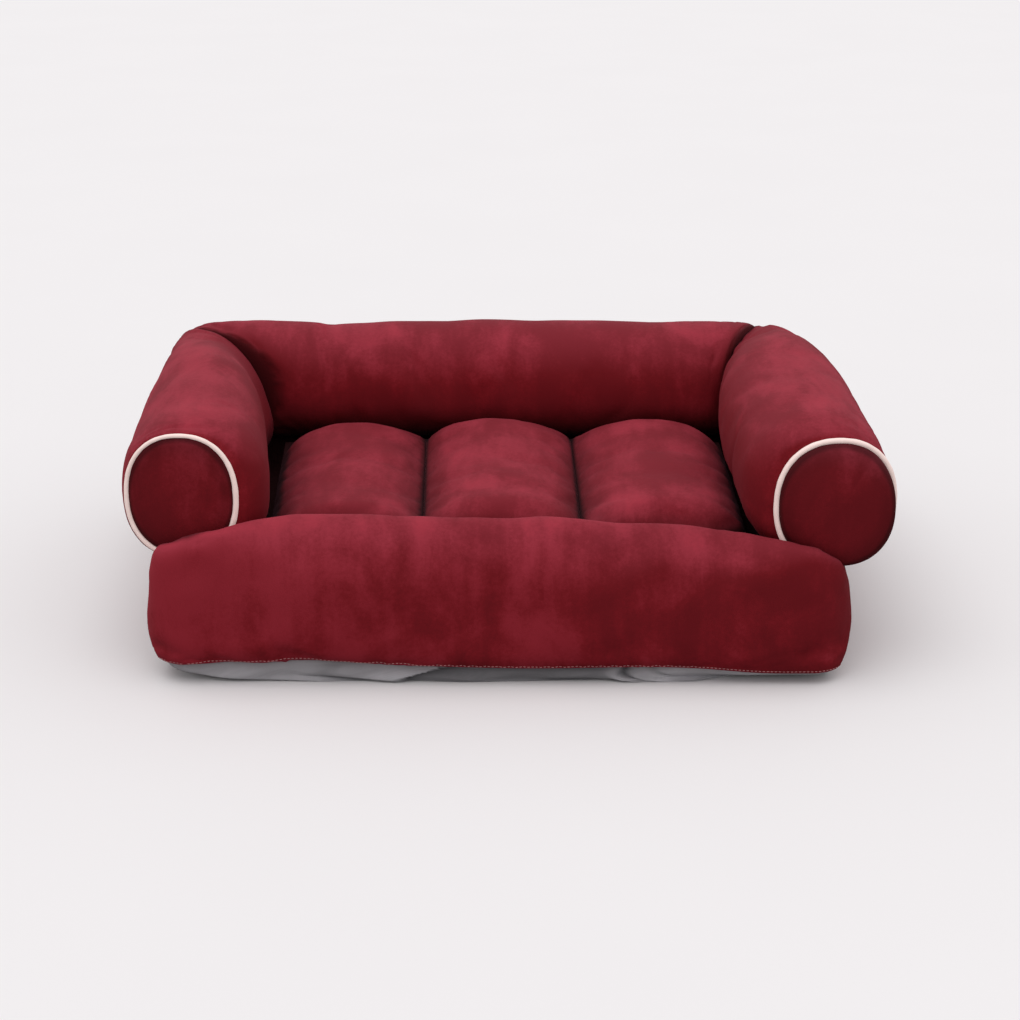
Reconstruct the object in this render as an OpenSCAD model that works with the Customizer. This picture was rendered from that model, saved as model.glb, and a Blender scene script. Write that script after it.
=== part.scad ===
// Sofa-shaped dog bed: a deep velvet base cushion whose front rolls up into a plump rim,
// a seat quilted in three channels, a back bolster and two rolled arm bolsters that end in
// piped oval discs, a bottom panel of grey bag cloth, and a zip across the rear wall through
// which the fillings come out when the cover is washed.
//
// X runs to the right of someone who faces the bed, the front looks along -Y, and Z is up.
// The origin lies on the floor, midway across the bed and midway along its depth.

/* [Base cushion] */
// Width of the base cushion where it is fullest
base_w = 736; // [700:4:756]
// Depth of the base cushion, from the front of the rim to the rear wall
base_d = 595; // [560:5:640]
// Height of the flat deck under the bolsters and the seat
deck_z = 120; // [112:1:122]
// Height of the seam that joins the velvet to the bottom panel
seam_z = 19; // [14:1:26]
// Height at which the front and the sides bulge out furthest
bulge_z = 86; // [78:1:92]
// How far the seam is drawn in under the front
front_seam_in = 12; // [6:1:18]
// How far the seam is drawn in under the sides
side_seam_in = 24; // [16:1:28]
// How far the seam is drawn in under the rear wall
rear_seam_in = 10; // [6:1:14]
// Radius of the base's corners seen from above
corner_r = 52; // [50:1:62]
// How far in from the sides and the rear wall the deck becomes flat
deck_in = 25; // [20:1:28]

/* [Front rim] */
// Height of the rim's crest at the middle
rim_z = 172; // [160:1:180]
// Height of the rim's crest in front of the arm discs
rim_end_z = 152; // [142:1:154]
// Distance of the crest from the front of the bed, between the arms
rim_crest_in = 45; // [36:1:50]
// Distance of the rim's inner foot from the front of the bed, between the arms
rim_foot_in = 92; // [86:1:96]
// Crest distance as a share of the foot distance in front of the discs
rim_end_crest_share = 0.5; // [0.4:0.05:0.6]

/* [Arms] */
// How far the arms hang out over the sides of the base
arm_overhang = 34; // [30:1:38]
// Height of the arms where they are fullest
arm_top_z = 270; // [262:1:280]
// Thickness of the left arm behind its disc
left_arm_w = 146; // [138:1:152]
// Thickness of the left arm at its rear end
left_arm_rear_w = 112; // [104:1:124]
// Height of the left arm at its rear end
left_arm_rear_z = 243; // [236:1:252]
// How far the left arm's rear end leans outward, as a share of its height
left_arm_lean = 0.34; // [0:0.02:0.4]
// Thickness of the right arm behind its disc
right_arm_w = 161; // [150:1:164]
// Thickness of the right arm at its rear end
right_arm_rear_w = 146; // [136:1:152]
// Height of the right arm at its rear end
right_arm_rear_z = 243; // [236:1:252]
// How far the right arm's rear end leans outward, as a share of its height
right_arm_lean = 0.06; // [0:0.02:0.2]
// Length over which the arms swell behind the discs
arm_swell_run = 75; // [50:5:100]
// Distance of the arms' free rear end from the rear wall
arm_end_in = 10; // [6:1:16]
// Width over which a free rear end turns round to the outer side
arm_corner_run = 78; // [60:1:84]

/* [Back bolster] */
// Thickness of the back bolster
back_w = 137; // [128:1:144]
// Height of the back bolster at its middle
back_top_z = 252; // [244:1:262]
// How far the back bolster stands in from the rear wall
back_in = 8; // [4:1:14]
// How far the back's free left end stands in from the left arm's outer side
back_end_in = 4; // [2:1:8]
// Depth over which the back's free end turns round to the rear
back_corner_run = 54; // [40:1:58]

/* [Corner seams] */
// Inner end of the left corner seam, in from the arm's outer side
left_seam_in = 128; // [122:1:134]
// How far in front of the back bolster the left corner seam begins
left_seam_front = 1.5; // [0:0.5:5]
// How far the left corner seam runs back for each step outward
left_seam_slope = 0.68; // [0.6:0.02:0.8]
// Inner end of the right corner seam, in from the arm's outer side
right_seam_in = 144; // [138:1:148]
// How far in front of the back bolster the right corner seam begins
right_seam_front = 1.5; // [0:0.5:5]
// How far the right corner seam runs back for each step outward
right_seam_slope = 2; // [1.6:0.1:2.2]
// How deep the bolsters' sides are drawn in at the corner seams
seam_pinch = 10; // [4:1:12]
// How deep the bolsters' tops are drawn in at the left corner seam
left_seam_dip = 10; // [2:1:12]
// How deep the bolsters' tops are drawn in at the right corner seam
right_seam_dip = 4; // [2:1:12]
// Length over which the bolsters are drawn in at the corner seams
pinch_run = 45; // [30:1:60]
// Length over which the free ends close
closing_run = 52; // [40:1:60]
// How much of the round underside is pressed flat against the deck
underside_press = 3; // [1:0.5:5]

/* [Arm discs] */
// Width of the oval discs inside their piping
disc_w = 112; // [104:1:118]
// Height of the oval discs inside their piping
disc_h = 127; // [120:1:130]
// Height of the top of the discs
disc_top_z = 258; // [256:1:262]
// Distance of the discs' piped edge from the front of the bed
disc_setback = 47; // [44:1:52]
// How far the discs are domed by the filling
disc_dome = 8; // [4:1:10]
// Thickness of the piping cord
piping_d = 6; // [4:0.5:7]

/* [Seat] */
// Height of the middle of the left channel above the deck
seat_left_crown = 41; // [36:1:52]
// Height of the middle of the centre channel above the deck
seat_mid_crown = 48; // [36:1:52]
// Height of the middle of the right channel above the deck
seat_right_crown = 46; // [36:1:52]
// Height of the stitched valleys between the channels above the deck
seat_valley = 14; // [10:1:20]
// Width of the middle channel
seat_mid_w = 166; // [150:1:180]
// Place of the middle channel's middle, from the middle of the bed
seat_mid_x = -11; // [-20:1:20]
// Length over which the channels round off at the front
seat_front_run = 42; // [32:1:60]
// Length over which the channels round off at the rear
seat_rear_run = 80; // [40:2:100]

/* [Cloth and clearances] */
// Thickness of the plush velvet
velvet_t = 2; // [1.5:0.1:2.5]
// Thickness of the bottom panel's bag cloth
bottom_t = 1.2; // [0.8:0.1:1.3]
// Gap between a filling and its cover
fill_gap = 0.3; // [0.2:0.1:0.6]
// Gap between cushions that lie against each other
rest_gap = 0.3; // [0.2:0.1:0.5]
// Gap between the seat and the cushions round it
seat_gap = 2; // [1:0.5:4]

/* [Zip] */
// Height of the zip's centre line above the floor
zip_z = 67; // [64:1:70]
// Height of the flat stretch of rear wall that holds the zip
zip_flat = 50; // [44:1:52]
// Length of the slot that the zip closes
slot_len = 566; // [480:2:580]
// Height of the slot
slot_h = 16; // [15:0.5:18]
// Width of each tape, from the teeth to its outer edge
tape_w = 14; // [11:0.5:15]
// Thickness of the tapes
tape_t = 0.8; // [0.5:0.1:1]
// Length of the tapes beyond each end of the slot
tape_end = 9; // [4:1:10]
// Distance between neighbouring teeth of one tape
tooth_pitch = 7; // [6.6:0.1:9]
// Width of a tooth along the zip
tooth_w = 2.6; // [2:0.1:2.8]
// Thickness of the teeth through the tape
tooth_t = 2.2; // [1.8:0.1:2.4]
// Reach of a tooth from the tape's edge to the zip's centre line
tooth_reach = 3.2; // [2.8:0.1:3.4]
// Reach of a tooth past the centre line, between the teeth opposite
tooth_hook = 1.4; // [1:0.1:1.8]
// Length of the slider
slider_len = 16; // [14:0.5:18]
// Width of the slider at the end where the teeth part
slider_w = 13; // [12.5:0.1:13.5]
// Thickness of each of the slider's two plates
slider_plate_t = 1.2; // [1:0.1:1.3]
// Running gap between the slider and the teeth and tapes
slider_gap = 0.4; // [0.3:0.05:0.5]
// Thickness of the bridge that holds the pull
bridge_t = 1.1; // [0.9:0.1:1.2]
// Diameter of the pull's crossbar
crossbar_d = 1.6; // [1.4:0.1:1.8]
// Length of the pull
pull_len = 30; // [24:1:36]
// Width of the pull's tab
pull_w = 10; // [9:0.5:12]

/* [Hidden] */

velvet = "#7d1a26";
velvet_deep = "#6a131e";
piping_colour = "#ecd3cb";
bag_cloth = "#6d6b70";
fibre = "#f1eee8";
tape_colour = "#5c1019";
tooth_colour = "#7a1f2a";
metal_colour = "#b9bcc0";

// How far the zip's slider stands out of the rear wall
tape_deep = velvet_t + 0.1 + tape_t / 2;
bridge_inside = crossbar_d + 2 * slider_gap;
plate_out = tooth_t / 2 + slider_gap - tape_deep;
slider_out = plate_out + slider_plate_t + bridge_inside + bridge_t;

// Planes that everything is placed from
front_y = -(base_d + slider_out) / 2;
rear_y = front_y + base_d;
half_w = base_w / 2;
arm_out_x = half_w + arm_overhang;
back_y = rear_y - back_in - back_w / 2;
disc_y = front_y + disc_setback;
disc_z = disc_top_z - disc_h / 2;
disc_x = half_w + arm_overhang - disc_w / 2 - piping_d - 1;
rim_end_foot_in = disc_setback - disc_dome - 3;
rest_z = deck_z + rest_gap;

// Counts of facets along the outline of the base
front_n = 16;
side_n = 4;
corner_n = 3;
// Rings of the base cover: seam, lower wall, fullest line, upper wall, crest, inner foot
lower_k = 3;
crest_k = 6;
foot_k = 9;
// How square the swell of the rim, of the walls' upper half and of the bolsters is:
// 2 is an ellipse
rim_power = 2.3;
wall_power = 3.4;
bolster_power = 2.25;

// Small helpers
function mix(a, b, t) = a + (b - a) * t;
function clamp01(t) = min(1, max(0, t));
function ease(t) = (1 - cos(180 * clamp01(t))) / 2;
function squared(v, power) = sign(v) * pow(abs(v), 2 / power);
function flat(lists) = [for (l = lists) each l];
function reversed(l) = [for (i = [len(l) - 1 : -1 : 0]) l[i]];
function quarter_run(t) = sqrt(max(0, 1 - pow(1 - clamp01(t), 2)));

// Quads between neighbouring rings of n points, as triangles
function band(first, second, n) = [
    for (j = [0 : n - 1]) let (k = (j + 1) % n)
        each [[first + j, first + k, second + k], [first + j, second + k, second + j]]
];

// A solid through rings of equal count, closed at both ends by a fan to a hub point.
// The rings turn anticlockwise seen from the last hub, or clockwise where that is said.
module loft(rings, first_hub, last_hub, clockwise = false) {
    n = len(rings[0]);
    last = len(rings) - 1;
    faces = concat(
        [for (j = [0 : n - 1]) [0, 1 + (j + 1) % n, 1 + j]],
        [for (i = [0 : last - 1]) each band(1 + i * n, 1 + (i + 1) * n, n)],
        [for (j = [0 : n - 1]) [1 + last * n + j, 1 + last * n + (j + 1) % n, 1 + (last + 1) * n]]
    );
    polyhedron(
        points = concat([first_hub], flat(rings), [last_hub]),
        faces = clockwise ? faces : [for (f = faces) reversed(f)],
        convexity = 10
    );
}

// A tube wall through a loop of rings: along the inside and back along the outside.
// The rings turn clockwise seen from the end that the inside runs towards.
module sleeve(rings) {
    n = len(rings[0]);
    count = len(rings);
    polyhedron(
        points = flat(rings),
        faces = [for (i = [0 : count - 1]) for (f = band(i * n, ((i + 1) % count) * n, n)) reversed(f)],
        convexity = 10
    );
}

// Points of the base's outline seen from above, anticlockwise from the front left:
// each holds its place, its outward direction, and its shares of front, side and rear
straight_x = half_w - corner_r;
// The rim sinks early in the front corners, so that it dips under the discs
rim_sink_power = 1.2;
function corner_points(cx, cy, from_angle, from_share, to_share) = [
    for (j = [1 : corner_n - 1]) let (
        a = 90 * j / corner_n,
        d = from_angle + a,
        power = from_share[0] + to_share[0] > 0 ? rim_sink_power : 2,
        share = from_share[1] == 0 ? pow(sin(a), power) : 1 - pow(cos(a), power)
    ) [[cx + corner_r * cos(d), cy + corner_r * sin(d)], [cos(d), sin(d)], mix(from_share, to_share, share)]
];
front_share = [1, 0, 0];
side_share = [0, 1, 0];
rear_share = [0, 0, 1];
outline = concat(
    [for (i = [0 : front_n]) [[straight_x * sin(180 * i / front_n - 90), front_y], [0, -1], front_share]],
    corner_points(straight_x, front_y + corner_r, -90, front_share, side_share),
    [for (i = [0 : side_n])
        [[half_w, mix(front_y + corner_r, rear_y - corner_r, i / side_n)], [1, 0], side_share]],
    corner_points(straight_x, rear_y - corner_r, 0, side_share, rear_share),
    [for (i = [0 : front_n]) [[straight_x * sin(90 - 180 * i / front_n), rear_y], [0, 1], rear_share]],
    corner_points(-straight_x, rear_y - corner_r, 90, rear_share, side_share),
    [for (i = [0 : side_n])
        [[-half_w, mix(rear_y - corner_r, front_y + corner_r, i / side_n)], [-1, 0], side_share]],
    corner_points(-straight_x, front_y + corner_r, 180, side_share, front_share)
);

// The rim along the front: its crest sinks and its foot comes forward in front of the discs
rim_turn_from = disc_x - disc_w / 2 - 60;
rim_turn_to = disc_x - disc_w / 2 + 15;
function rim_turn(x) = clamp01((abs(x) - rim_turn_from) / (rim_turn_to - rim_turn_from));
function rim_foot(x) = mix(rim_foot_in, rim_end_foot_in, rim_turn(x));
function rim_crest(x) = mix(rim_crest_in, rim_end_crest_share * rim_end_foot_in, rim_turn(x));
function crest_height(x) = mix(rim_z, rim_end_z, pow(min(1, abs(x) / straight_x), 2.7));

// Quarter of a squared ellipse from the seam up to the fullest line, as [distance in, height]
function lower_wall(k, seam_in, full_z, power) = let (a = 90 * k / lower_k) [
    seam_in * (1 - squared(sin(a), power)),
    full_z - (full_z - seam_z) * squared(cos(a), power)
];
// Quarter of a squared ellipse from the fullest line to a crest or to the deck
function upper_wall(k, top_in, full_z, top_z, power) = let (
    a = 90 * (k - lower_k) / (crest_k - lower_k)
) [
    top_in * (1 - squared(cos(a), power)),
    full_z + (top_z - full_z) * squared(sin(a), power)
];
function front_profile(k, x) =
    k <= lower_k ? lower_wall(k, front_seam_in, bulge_z, rim_power)
    : k <= crest_k ? upper_wall(k, rim_crest(x), bulge_z, crest_height(x), rim_power)
    : let (u = (k - crest_k) / (foot_k - crest_k))
        [mix(rim_crest(x), rim_foot(x), u), mix(crest_height(x), deck_z, ease(u))];
deck_step = (corner_r - 6 - deck_in) / (foot_k - crest_k);
function side_profile(k) =
    k <= lower_k ? lower_wall(k, side_seam_in, bulge_z, rim_power)
    : k <= crest_k ? upper_wall(k, deck_in, bulge_z, deck_z, wall_power)
    : [deck_in + deck_step * (k - crest_k), deck_z];
zip_low = zip_z - zip_flat / 2;
zip_high = zip_z + zip_flat / 2;
function rear_profile(k) =
    k == 0 ? [rear_seam_in, seam_z]
    : k == 1 ? [rear_seam_in / 4, mix(seam_z, zip_low, 0.55)]
    : k == 2 ? [0, zip_low]
    : k <= crest_k ? upper_wall(k, deck_in, zip_high, deck_z, wall_power)
    : [deck_in + deck_step * (k - crest_k), deck_z];
function base_profile(k, spot) =
    spot[2][0] * front_profile(k, spot[0][0]) + spot[2][1] * side_profile(k) + spot[2][2] * rear_profile(k);

// The same profile moved inward by a depth, square to its own slope
function sunk_profile(k, spot, depth) = let (
    here = base_profile(k, spot),
    below = k > 0 ? base_profile(k - 1, spot) : here,
    above = k < foot_k ? base_profile(k + 1, spot) : here + [10, 0],
    along = (above - below) / norm(above - below)
) [here[0] + depth * along[1], k == 0 ? here[1] : here[1] - depth * along[0]];
function placed(spot, at) = [spot[0][0] - spot[1][0] * at[0], spot[0][1] - spot[1][1] * at[0], at[1]];
function base_ring(k, depth) = [for (spot = outline) placed(spot, sunk_profile(k, spot, depth))];

deck_hub = [0, 0, deck_z];

// Velvet over the base cushion and its rim, open underneath, with the slot for the zip
module base_cover() {
    outer = [for (k = [0 : foot_k]) base_ring(k, 0)];
    inner = [for (k = [0 : foot_k]) base_ring(k, velvet_t)];
    color(velvet)
    difference() {
        loft(concat(reversed(outer), inner), deck_hub, deck_hub - [0, 0, velvet_t], clockwise = true);
        translate([-slot_len / 2, rear_y - 2 * velvet_t, zip_z - slot_h / 2])
            cube([slot_len, 3 * velvet_t, slot_h]);
    }
}

// Depth from the velvet's outer face to the fillings under it
fill_in = velvet_t + fill_gap;
fill_top_z = deck_z - fill_in;
// Room that the filling leaves behind the rear wall for the zip
zip_room = tooth_t / 2 + tape_t / 2 + slider_gap + slider_plate_t + 1.5;

// Distance in at which the velvet's face reaches a height between the fullest line and the crest
function face_in_at(spot, z) = let (
    k = [for (i = [lower_k : crest_k - 1]) if (base_profile(i + 1, spot)[1] >= z - 0.001) i][0],
    low = base_profile(k, spot),
    high = base_profile(k + 1, spot)
) mix(low[0], high[0], (z - low[1]) / (high[1] - low[1]));

// Thick fibre slab that fills the base from the bottom panel up to the deck
module base_fill() {
    floor_z = bottom_t + fill_gap;
    function slab_at(k, spot) = let (
        rear_in = spot[2][2] * zip_room,
        wall = sunk_profile(k, spot, fill_in),
        z = k == lower_k + 1 ? mix(zip_high, fill_top_z, 0.6) : fill_top_z
    ) k <= lower_k ? [wall[0] + rear_in, wall[1]]
        : [max(face_in_at(spot, z) + 1.3 * fill_in, face_in_at(spot, z + fill_in)) + rear_in, z];
    function foot_at(spot) = [sunk_profile(0, spot, fill_in)[0] + panel_foot_in + 4, floor_z];
    rings = concat(
        [[for (spot = outline) placed(spot, foot_at(spot))]],
        [for (k = [0 : lower_k + 2]) [for (spot = outline) placed(spot, slab_at(k, spot))]]
    );
    color(fibre) loft(rings, [0, 0, floor_z], [0, 0, fill_top_z]);
}

// Fibre roll that plumps up the rim, lying on the slab
module rim_fill() {
    roll_z = fill_top_z + fill_gap;
    function sunk_front(k, x) = sunk_profile(k, [[x, front_y], [0, -1], front_share], fill_in);
    function roll_ring(x, shrink) = let (
        outer = [for (k = [crest_k - 1 : foot_k - 1]) sunk_front(k, x)],
        heel = [face_in_at([[x, front_y], [0, -1], front_share], roll_z) + 1.2 * fill_in, roll_z],
        toe = [rim_foot(x) - fill_in, roll_z],
        middle = [(heel[0] + toe[0]) / 2, roll_z],
        ring = concat([heel], outer, [toe])
    ) [for (p = ring) let (q = mix(middle, [p[0], max(roll_z, p[1])], shrink)) [x, front_y + q[0], q[1]]];
    xs = [for (i = [1 : front_n - 1]) straight_x * sin(180 * i / front_n - 90)];
    end_x = straight_x - 1;
    rings = concat([roll_ring(-end_x, 0.75)], [for (x = xs) roll_ring(x, 1)], [roll_ring(end_x, 0.75)]);
    middle_y = front_y + (rim_crest(end_x) + rim_foot(end_x)) / 2;
    color(fibre)
        loft(rings, [-end_x - 1, middle_y, roll_z + 5], [end_x + 1, middle_y, roll_z + 5], clockwise = true);
}

// How the bottom panel turns from the seam to the floor: distance in from the seam, and height
panel_foot_in = corner_r - side_seam_in - 8;
panel_seam_z = seam_z - rest_gap;
function panel_profile(k) =
    k == 0 ? [0, panel_seam_z]
    : k == 1 ? [4, panel_seam_z * 0.55]
    : k == 2 ? [0.4 * panel_foot_in, panel_seam_z * 0.15]
    : [panel_foot_in, 0];
// Soft folds that the filling presses into the bag cloth along the seam
function panel_fold(x) = 1.5 * cos(360 * x / 190) * sin(360 * x / 77 + 40);

// Bag cloth under the bed, sewn to the velvet at the seam and flat where it rests
module bottom_panel() {
    function panel_ring(depth) = [for (k = [0 : 3]) [
        for (spot = outline) let (
            seam_in = base_profile(0, spot)[0] + 0.2,
            p = panel_profile(k),
            fold = k == 1 ? panel_fold(spot[0][0]) : 0
        ) placed(spot, [seam_in + p[0] + fold + (k < 2 ? depth : depth * 0.4),
            k == 0 ? p[1] : k == 1 ? p[1] + depth * 0.3 : p[1] + depth])
    ]];
    color(bag_cloth)
        loft(concat(reversed(panel_ring(0)), panel_ring(bottom_t)), [0, 0, 0], [0, 0, bottom_t]);
}

// Upper face of the quilted seat, moved inward by a depth
seat_front_y = front_y + rim_foot_in + seat_gap;
seat_rear_y = back_y - back_w / 2 - seat_gap;
channel_n = 8;
seat_n = 12;
// Edges of the three channels from left to right, at a distance from the front
function channel_edge(i, y) =
    i == 0 ? seat_gap - arm_inner(left_arm, y)
    : i == 3 ? arm_inner(right_arm, y) - seat_gap
    : seat_mid_x + (i == 1 ? -seat_mid_w : seat_mid_w) / 2;
function seat_y(j, depth) = let (t = sin(180 * j / seat_n - 90))
    mix(seat_front_y + depth, seat_rear_y - depth, (t + 1) / 2);
function end_round(y, depth) = min(
    quarter_run((y - seat_front_y - depth) / seat_front_run),
    quarter_run((seat_rear_y - depth - y) / seat_rear_run)
);
crowns = [seat_left_crown, seat_mid_crown, seat_right_crown];
// Height in a channel: low at its two edges, t running from -1 to 1 across it
function channel_height(t, low_left, low_right, crown) = let (low = mix(low_left, low_right, (t + 1) / 2))
    low + (crown - low) * pow(max(0, 1 - pow(abs(t), 2.4)), 1 / 2.1);
function seat_point(channel, i, j, depth, left_in, right_in, end_in) = let (
    y = seat_y(j, end_in),
    left = channel_edge(channel, y) + left_in,
    right = channel_edge(channel + 1, y) - right_in,
    t = sin(180 * i / channel_n - 90),
    valley = max(1, seat_valley - depth),
    low_left = channel == 0 ? 0 : valley,
    low_right = channel == 2 ? 0 : valley,
    height = channel_height(t, low_left, low_right, crowns[channel] - depth)
) [mix(left, right, (t + 1) / 2), y, rest_z + height * end_round(y, end_in)];

// Rows of points across all three channels, from the front to the rear
function seat_rows(depth) = [for (j = [0 : seat_n]) [
    for (channel = [0 : 2]) for (i = [(channel == 0 ? 0 : 1) : channel_n])
        seat_point(channel, i, j, depth, channel == 0 ? depth : 0, channel == 2 ? depth : 0, depth)
]];

// A sheet between an upper and a lower grid of points, closed along its four borders
module sheet(upper, lower) {
    rows = len(upper);
    cols = len(upper[0]);
    base = rows * cols;
    function at(r, c) = r * cols + c;
    border = concat(
        [for (c = [0 : cols - 2]) at(0, c)],
        [for (r = [0 : rows - 2]) at(r, cols - 1)],
        [for (c = [cols - 1 : -1 : 1]) at(rows - 1, c)],
        [for (r = [rows - 1 : -1 : 1]) at(r, 0)]
    );
    n = len(border);
    polyhedron(
        points = concat(flat(upper), flat(lower)),
        faces = concat(
            [for (r = [0 : rows - 2]) for (c = [0 : cols - 2]) each [
                [at(r, c), at(r + 1, c + 1), at(r, c + 1)],
                [at(r, c), at(r + 1, c), at(r + 1, c + 1)],
                [base + at(r, c), base + at(r, c + 1), base + at(r + 1, c + 1)],
                [base + at(r, c), base + at(r + 1, c + 1), base + at(r + 1, c)]
            ]],
            [for (i = [0 : n - 1]) let (a = border[i], b = border[(i + 1) % n])
                each [[a, b, base + b], [a, base + b, base + a]]]
        ),
        convexity = 10
    );
}

// Velvet over the seat, stitched down in two valleys
module seat_cover() {
    color(velvet) sheet(seat_rows(0), seat_rows(velvet_t));
}

// Fibre in one channel of the seat, flat underneath
module seat_fill(channel) {
    seam_in = 0.6;
    least_t = 0.1;
    edge_in = fill_in + 1;
    left_in = channel == 0 ? edge_in : seam_in;
    right_in = channel == 2 ? edge_in : seam_in;
    upper = [for (j = [0 : seat_n]) [
        for (i = [0 : channel_n]) let (
            p = seat_point(channel, i, j, fill_in, left_in, right_in, edge_in)
        )
            [p[0], p[1], max(rest_z + least_t, p[2])]
    ]];
    lower = [for (row = upper) [for (p = row) [p[0], p[1], rest_z]]];
    color(fibre) sheet(upper, lower);
}

module seat_fill_left() { seat_fill(0); }
module seat_fill_centre() { seat_fill(1); }
module seat_fill_right() { seat_fill(2); }

// Section of a bolster from its middle, half its width, its underside, its top, how far it
// leans across, and an inward depth. Its points are [across, height, furthest across of this
// point and the one without the depth].
section_n = 24;
function section(middle, half_across, low_z, high_z, lean, depth) = [
    for (j = [0 : section_n - 1]) let (
        a = 360 * j / section_n,
        half_up = (high_z - low_z) / 2,
        up = squared(sin(a), bolster_power),
        side = squared(cos(a), bolster_power),
        across = middle + (half_across - depth) * side + lean * half_up * up
    ) [across, (high_z + low_z) / 2 + (half_up - depth) * up, across + depth * max(0, side)]
];
under_z = rest_z - underside_press;

// What differs between the arms: thickness in front and at the rear, height and lean at the
// rear, inner end of the corner seam, the seam's slope, and how deep the tops dip at it
back_front_y = back_y - back_w / 2;
left_arm = [left_arm_w, left_arm_rear_w, left_arm_rear_z, left_arm_lean,
    arm_out_x - left_seam_in, back_front_y - left_seam_front, left_seam_slope, left_seam_dip];
right_arm = [right_arm_w, right_arm_rear_w, right_arm_rear_z, right_arm_lean,
    arm_out_x - right_seam_in, back_front_y - right_seam_front, right_seam_slope, right_seam_dip];

// The seam plane stands upright and runs outward and back: its place along one axis for a
// place along the other, both counted from the middle of the bed outward
function seam_y(arm, x, depth) =
    arm[5] + arm[6] * (x - arm[4]) - (rest_gap / 2 + depth) * sqrt(1 + arm[6] * arm[6]);
function seam_x(arm, y, depth) =
    arm[4] + (y - arm[5]) / arm[6] - (rest_gap / 2 + depth) * sqrt(1 + 1 / (arm[6] * arm[6]));
function pinched(left, deep) = deep * (1 - quarter_run(left / pinch_run));
// How far a free end's corner has turned in at a distance past its beginning: an oval
// quarter, a little short of its end
corner_depth = 0.8;
corner_turned = 0.98;
function corner_in(past, run) = let (turn = min(corner_turned, max(0, past / run)))
    corner_depth * run * (1 - sqrt(1 - turn * turn));
// How high a free end is where it ends, as a share of the bolster's height, and at what
// share of the height it closes
least_closed = 0.2;
closed_at = 0.45;
function closed(free, left) = mix(1, mix(least_closed, 1, quarter_run(left / closing_run)), free);
function freed(past) = ease(past / closing_run * 2);
function shut(z, low_z, high_z, close, depth) =
    max(rest_z + depth, mix(mix(low_z, high_z, closed_at), z, close));

// An arm, counted outward from the middle of the bed. Its length runs from the disc to the
// corner seam, and past the seam's outer end to a free end.
arm_corner_x = arm_out_x - arm_corner_run;
arm_n = 11;
function even_ends(i, n) = (1 - cos(180 * i / n)) / 2;
// The arms begin to swell behind their piping
tuck = piping_d / 2;
function arm_shares(arm) = let (first = tuck / arm_reach(arm))
    concat([0], [for (i = [0 : arm_n]) mix(first, 1, even_ends(i, arm_n))]);
function arm_end(arm, x, depth) = min(
    seam_y(arm, x, depth),
    rear_y - arm_end_in - corner_in(x - arm_corner_x, arm_corner_run) - depth
);
function arm_reach(arm) = arm_end(arm, arm_out_x - arm[1] / 2, 0) - disc_y;
narrow_power = 1.5;
function arm_width(arm, share) = mix(arm[0], arm[1], pow(share, narrow_power));
function arm_inner(arm, y) = arm_out_x - arm_width(arm, clamp01((y - disc_y) / arm_reach(arm)));
function arm_ring(arm, share, depth) = let (
    reach = arm_reach(arm),
    swell = quarter_run((share * reach - tuck) / arm_swell_run),
    left = reach * (1 - share),
    sink = ease(2 * share - 1),
    low = mix(disc_top_z - disc_h, under_z, swell),
    high = mix(disc_top_z, mix(arm_top_z, arm[2], sink) - pinched(left, arm[7]), swell),
    full_w = arm_width(arm, share),
    half_across = mix(disc_w, full_w, swell) / 2 - pinched(left, seam_pinch),
    lean = sink * arm[3],
    leaning = norm([full_w, lean * (high - low)]) / 2,
    middle = mix(disc_x, arm_out_x - leaning, swell)
) [for (p = section(middle, half_across, low, high, lean, depth)) let (
    end = arm_end(arm, p[0], depth),
    past = seam_y(arm, p[2], 0) - arm_end(arm, p[2], 0),
    close = closed(freed(past), (end - disc_y) * (1 - share))
) [p[0], disc_y + share * (end - disc_y), shut(p[1], low, high, close, depth)]];
function arm_hub(arm, depth) = let (x = arm_out_x - arm[1] / 2)
    [x, arm_end(arm, x, depth), mix(rest_z, arm[2], closed_at)];

// Velvet of an arm, open at the disc and closed at its rear end
module arm_bag(arm) {
    outer = [for (s = arm_shares(arm)) arm_ring(arm, s, 0)];
    inner = [for (s = arm_shares(arm)) arm_ring(arm, s, velvet_t)];
    mouth = [for (p = inner[0]) [p[0], disc_y - velvet_t, p[2]]];
    color(velvet) difference() {
        loft(outer, [disc_x, disc_y, disc_z], arm_hub(arm, 0), clockwise = true);
        loft(concat([mouth], inner), [disc_x, disc_y - velvet_t, disc_z], arm_hub(arm, velvet_t),
            clockwise = true);
    }
}

// Rings of a domed disc, from its edge to near its middle, at a depth behind its face
function disc_ring(share, depth, edge_in) = [for (j = [0 : section_n - 1]) let (a = 360 * j / section_n) [
    disc_x + share * (disc_w / 2 - edge_in) * squared(cos(a), bolster_power),
    disc_y - disc_dome * (1 - share * share) + depth,
    disc_z + share * (disc_h / 2 - edge_in) * squared(sin(a), bolster_power)
]];

// Velvet disc that closes the front of an arm, domed by the filling
module arm_disc() {
    seat = -rest_gap;
    steps = [1, 0.8, 0.45];
    face = [for (s = steps) disc_ring(s, seat - velvet_t, 0)];
    back = [for (s = steps) disc_ring(s, seat, 0)];
    color(velvet_deep)
        loft(reversed(concat(reversed(face), back)),
            [disc_x, disc_y - disc_dome + seat, disc_z],
            [disc_x, disc_y - disc_dome + seat - velvet_t, disc_z]);
}

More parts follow.
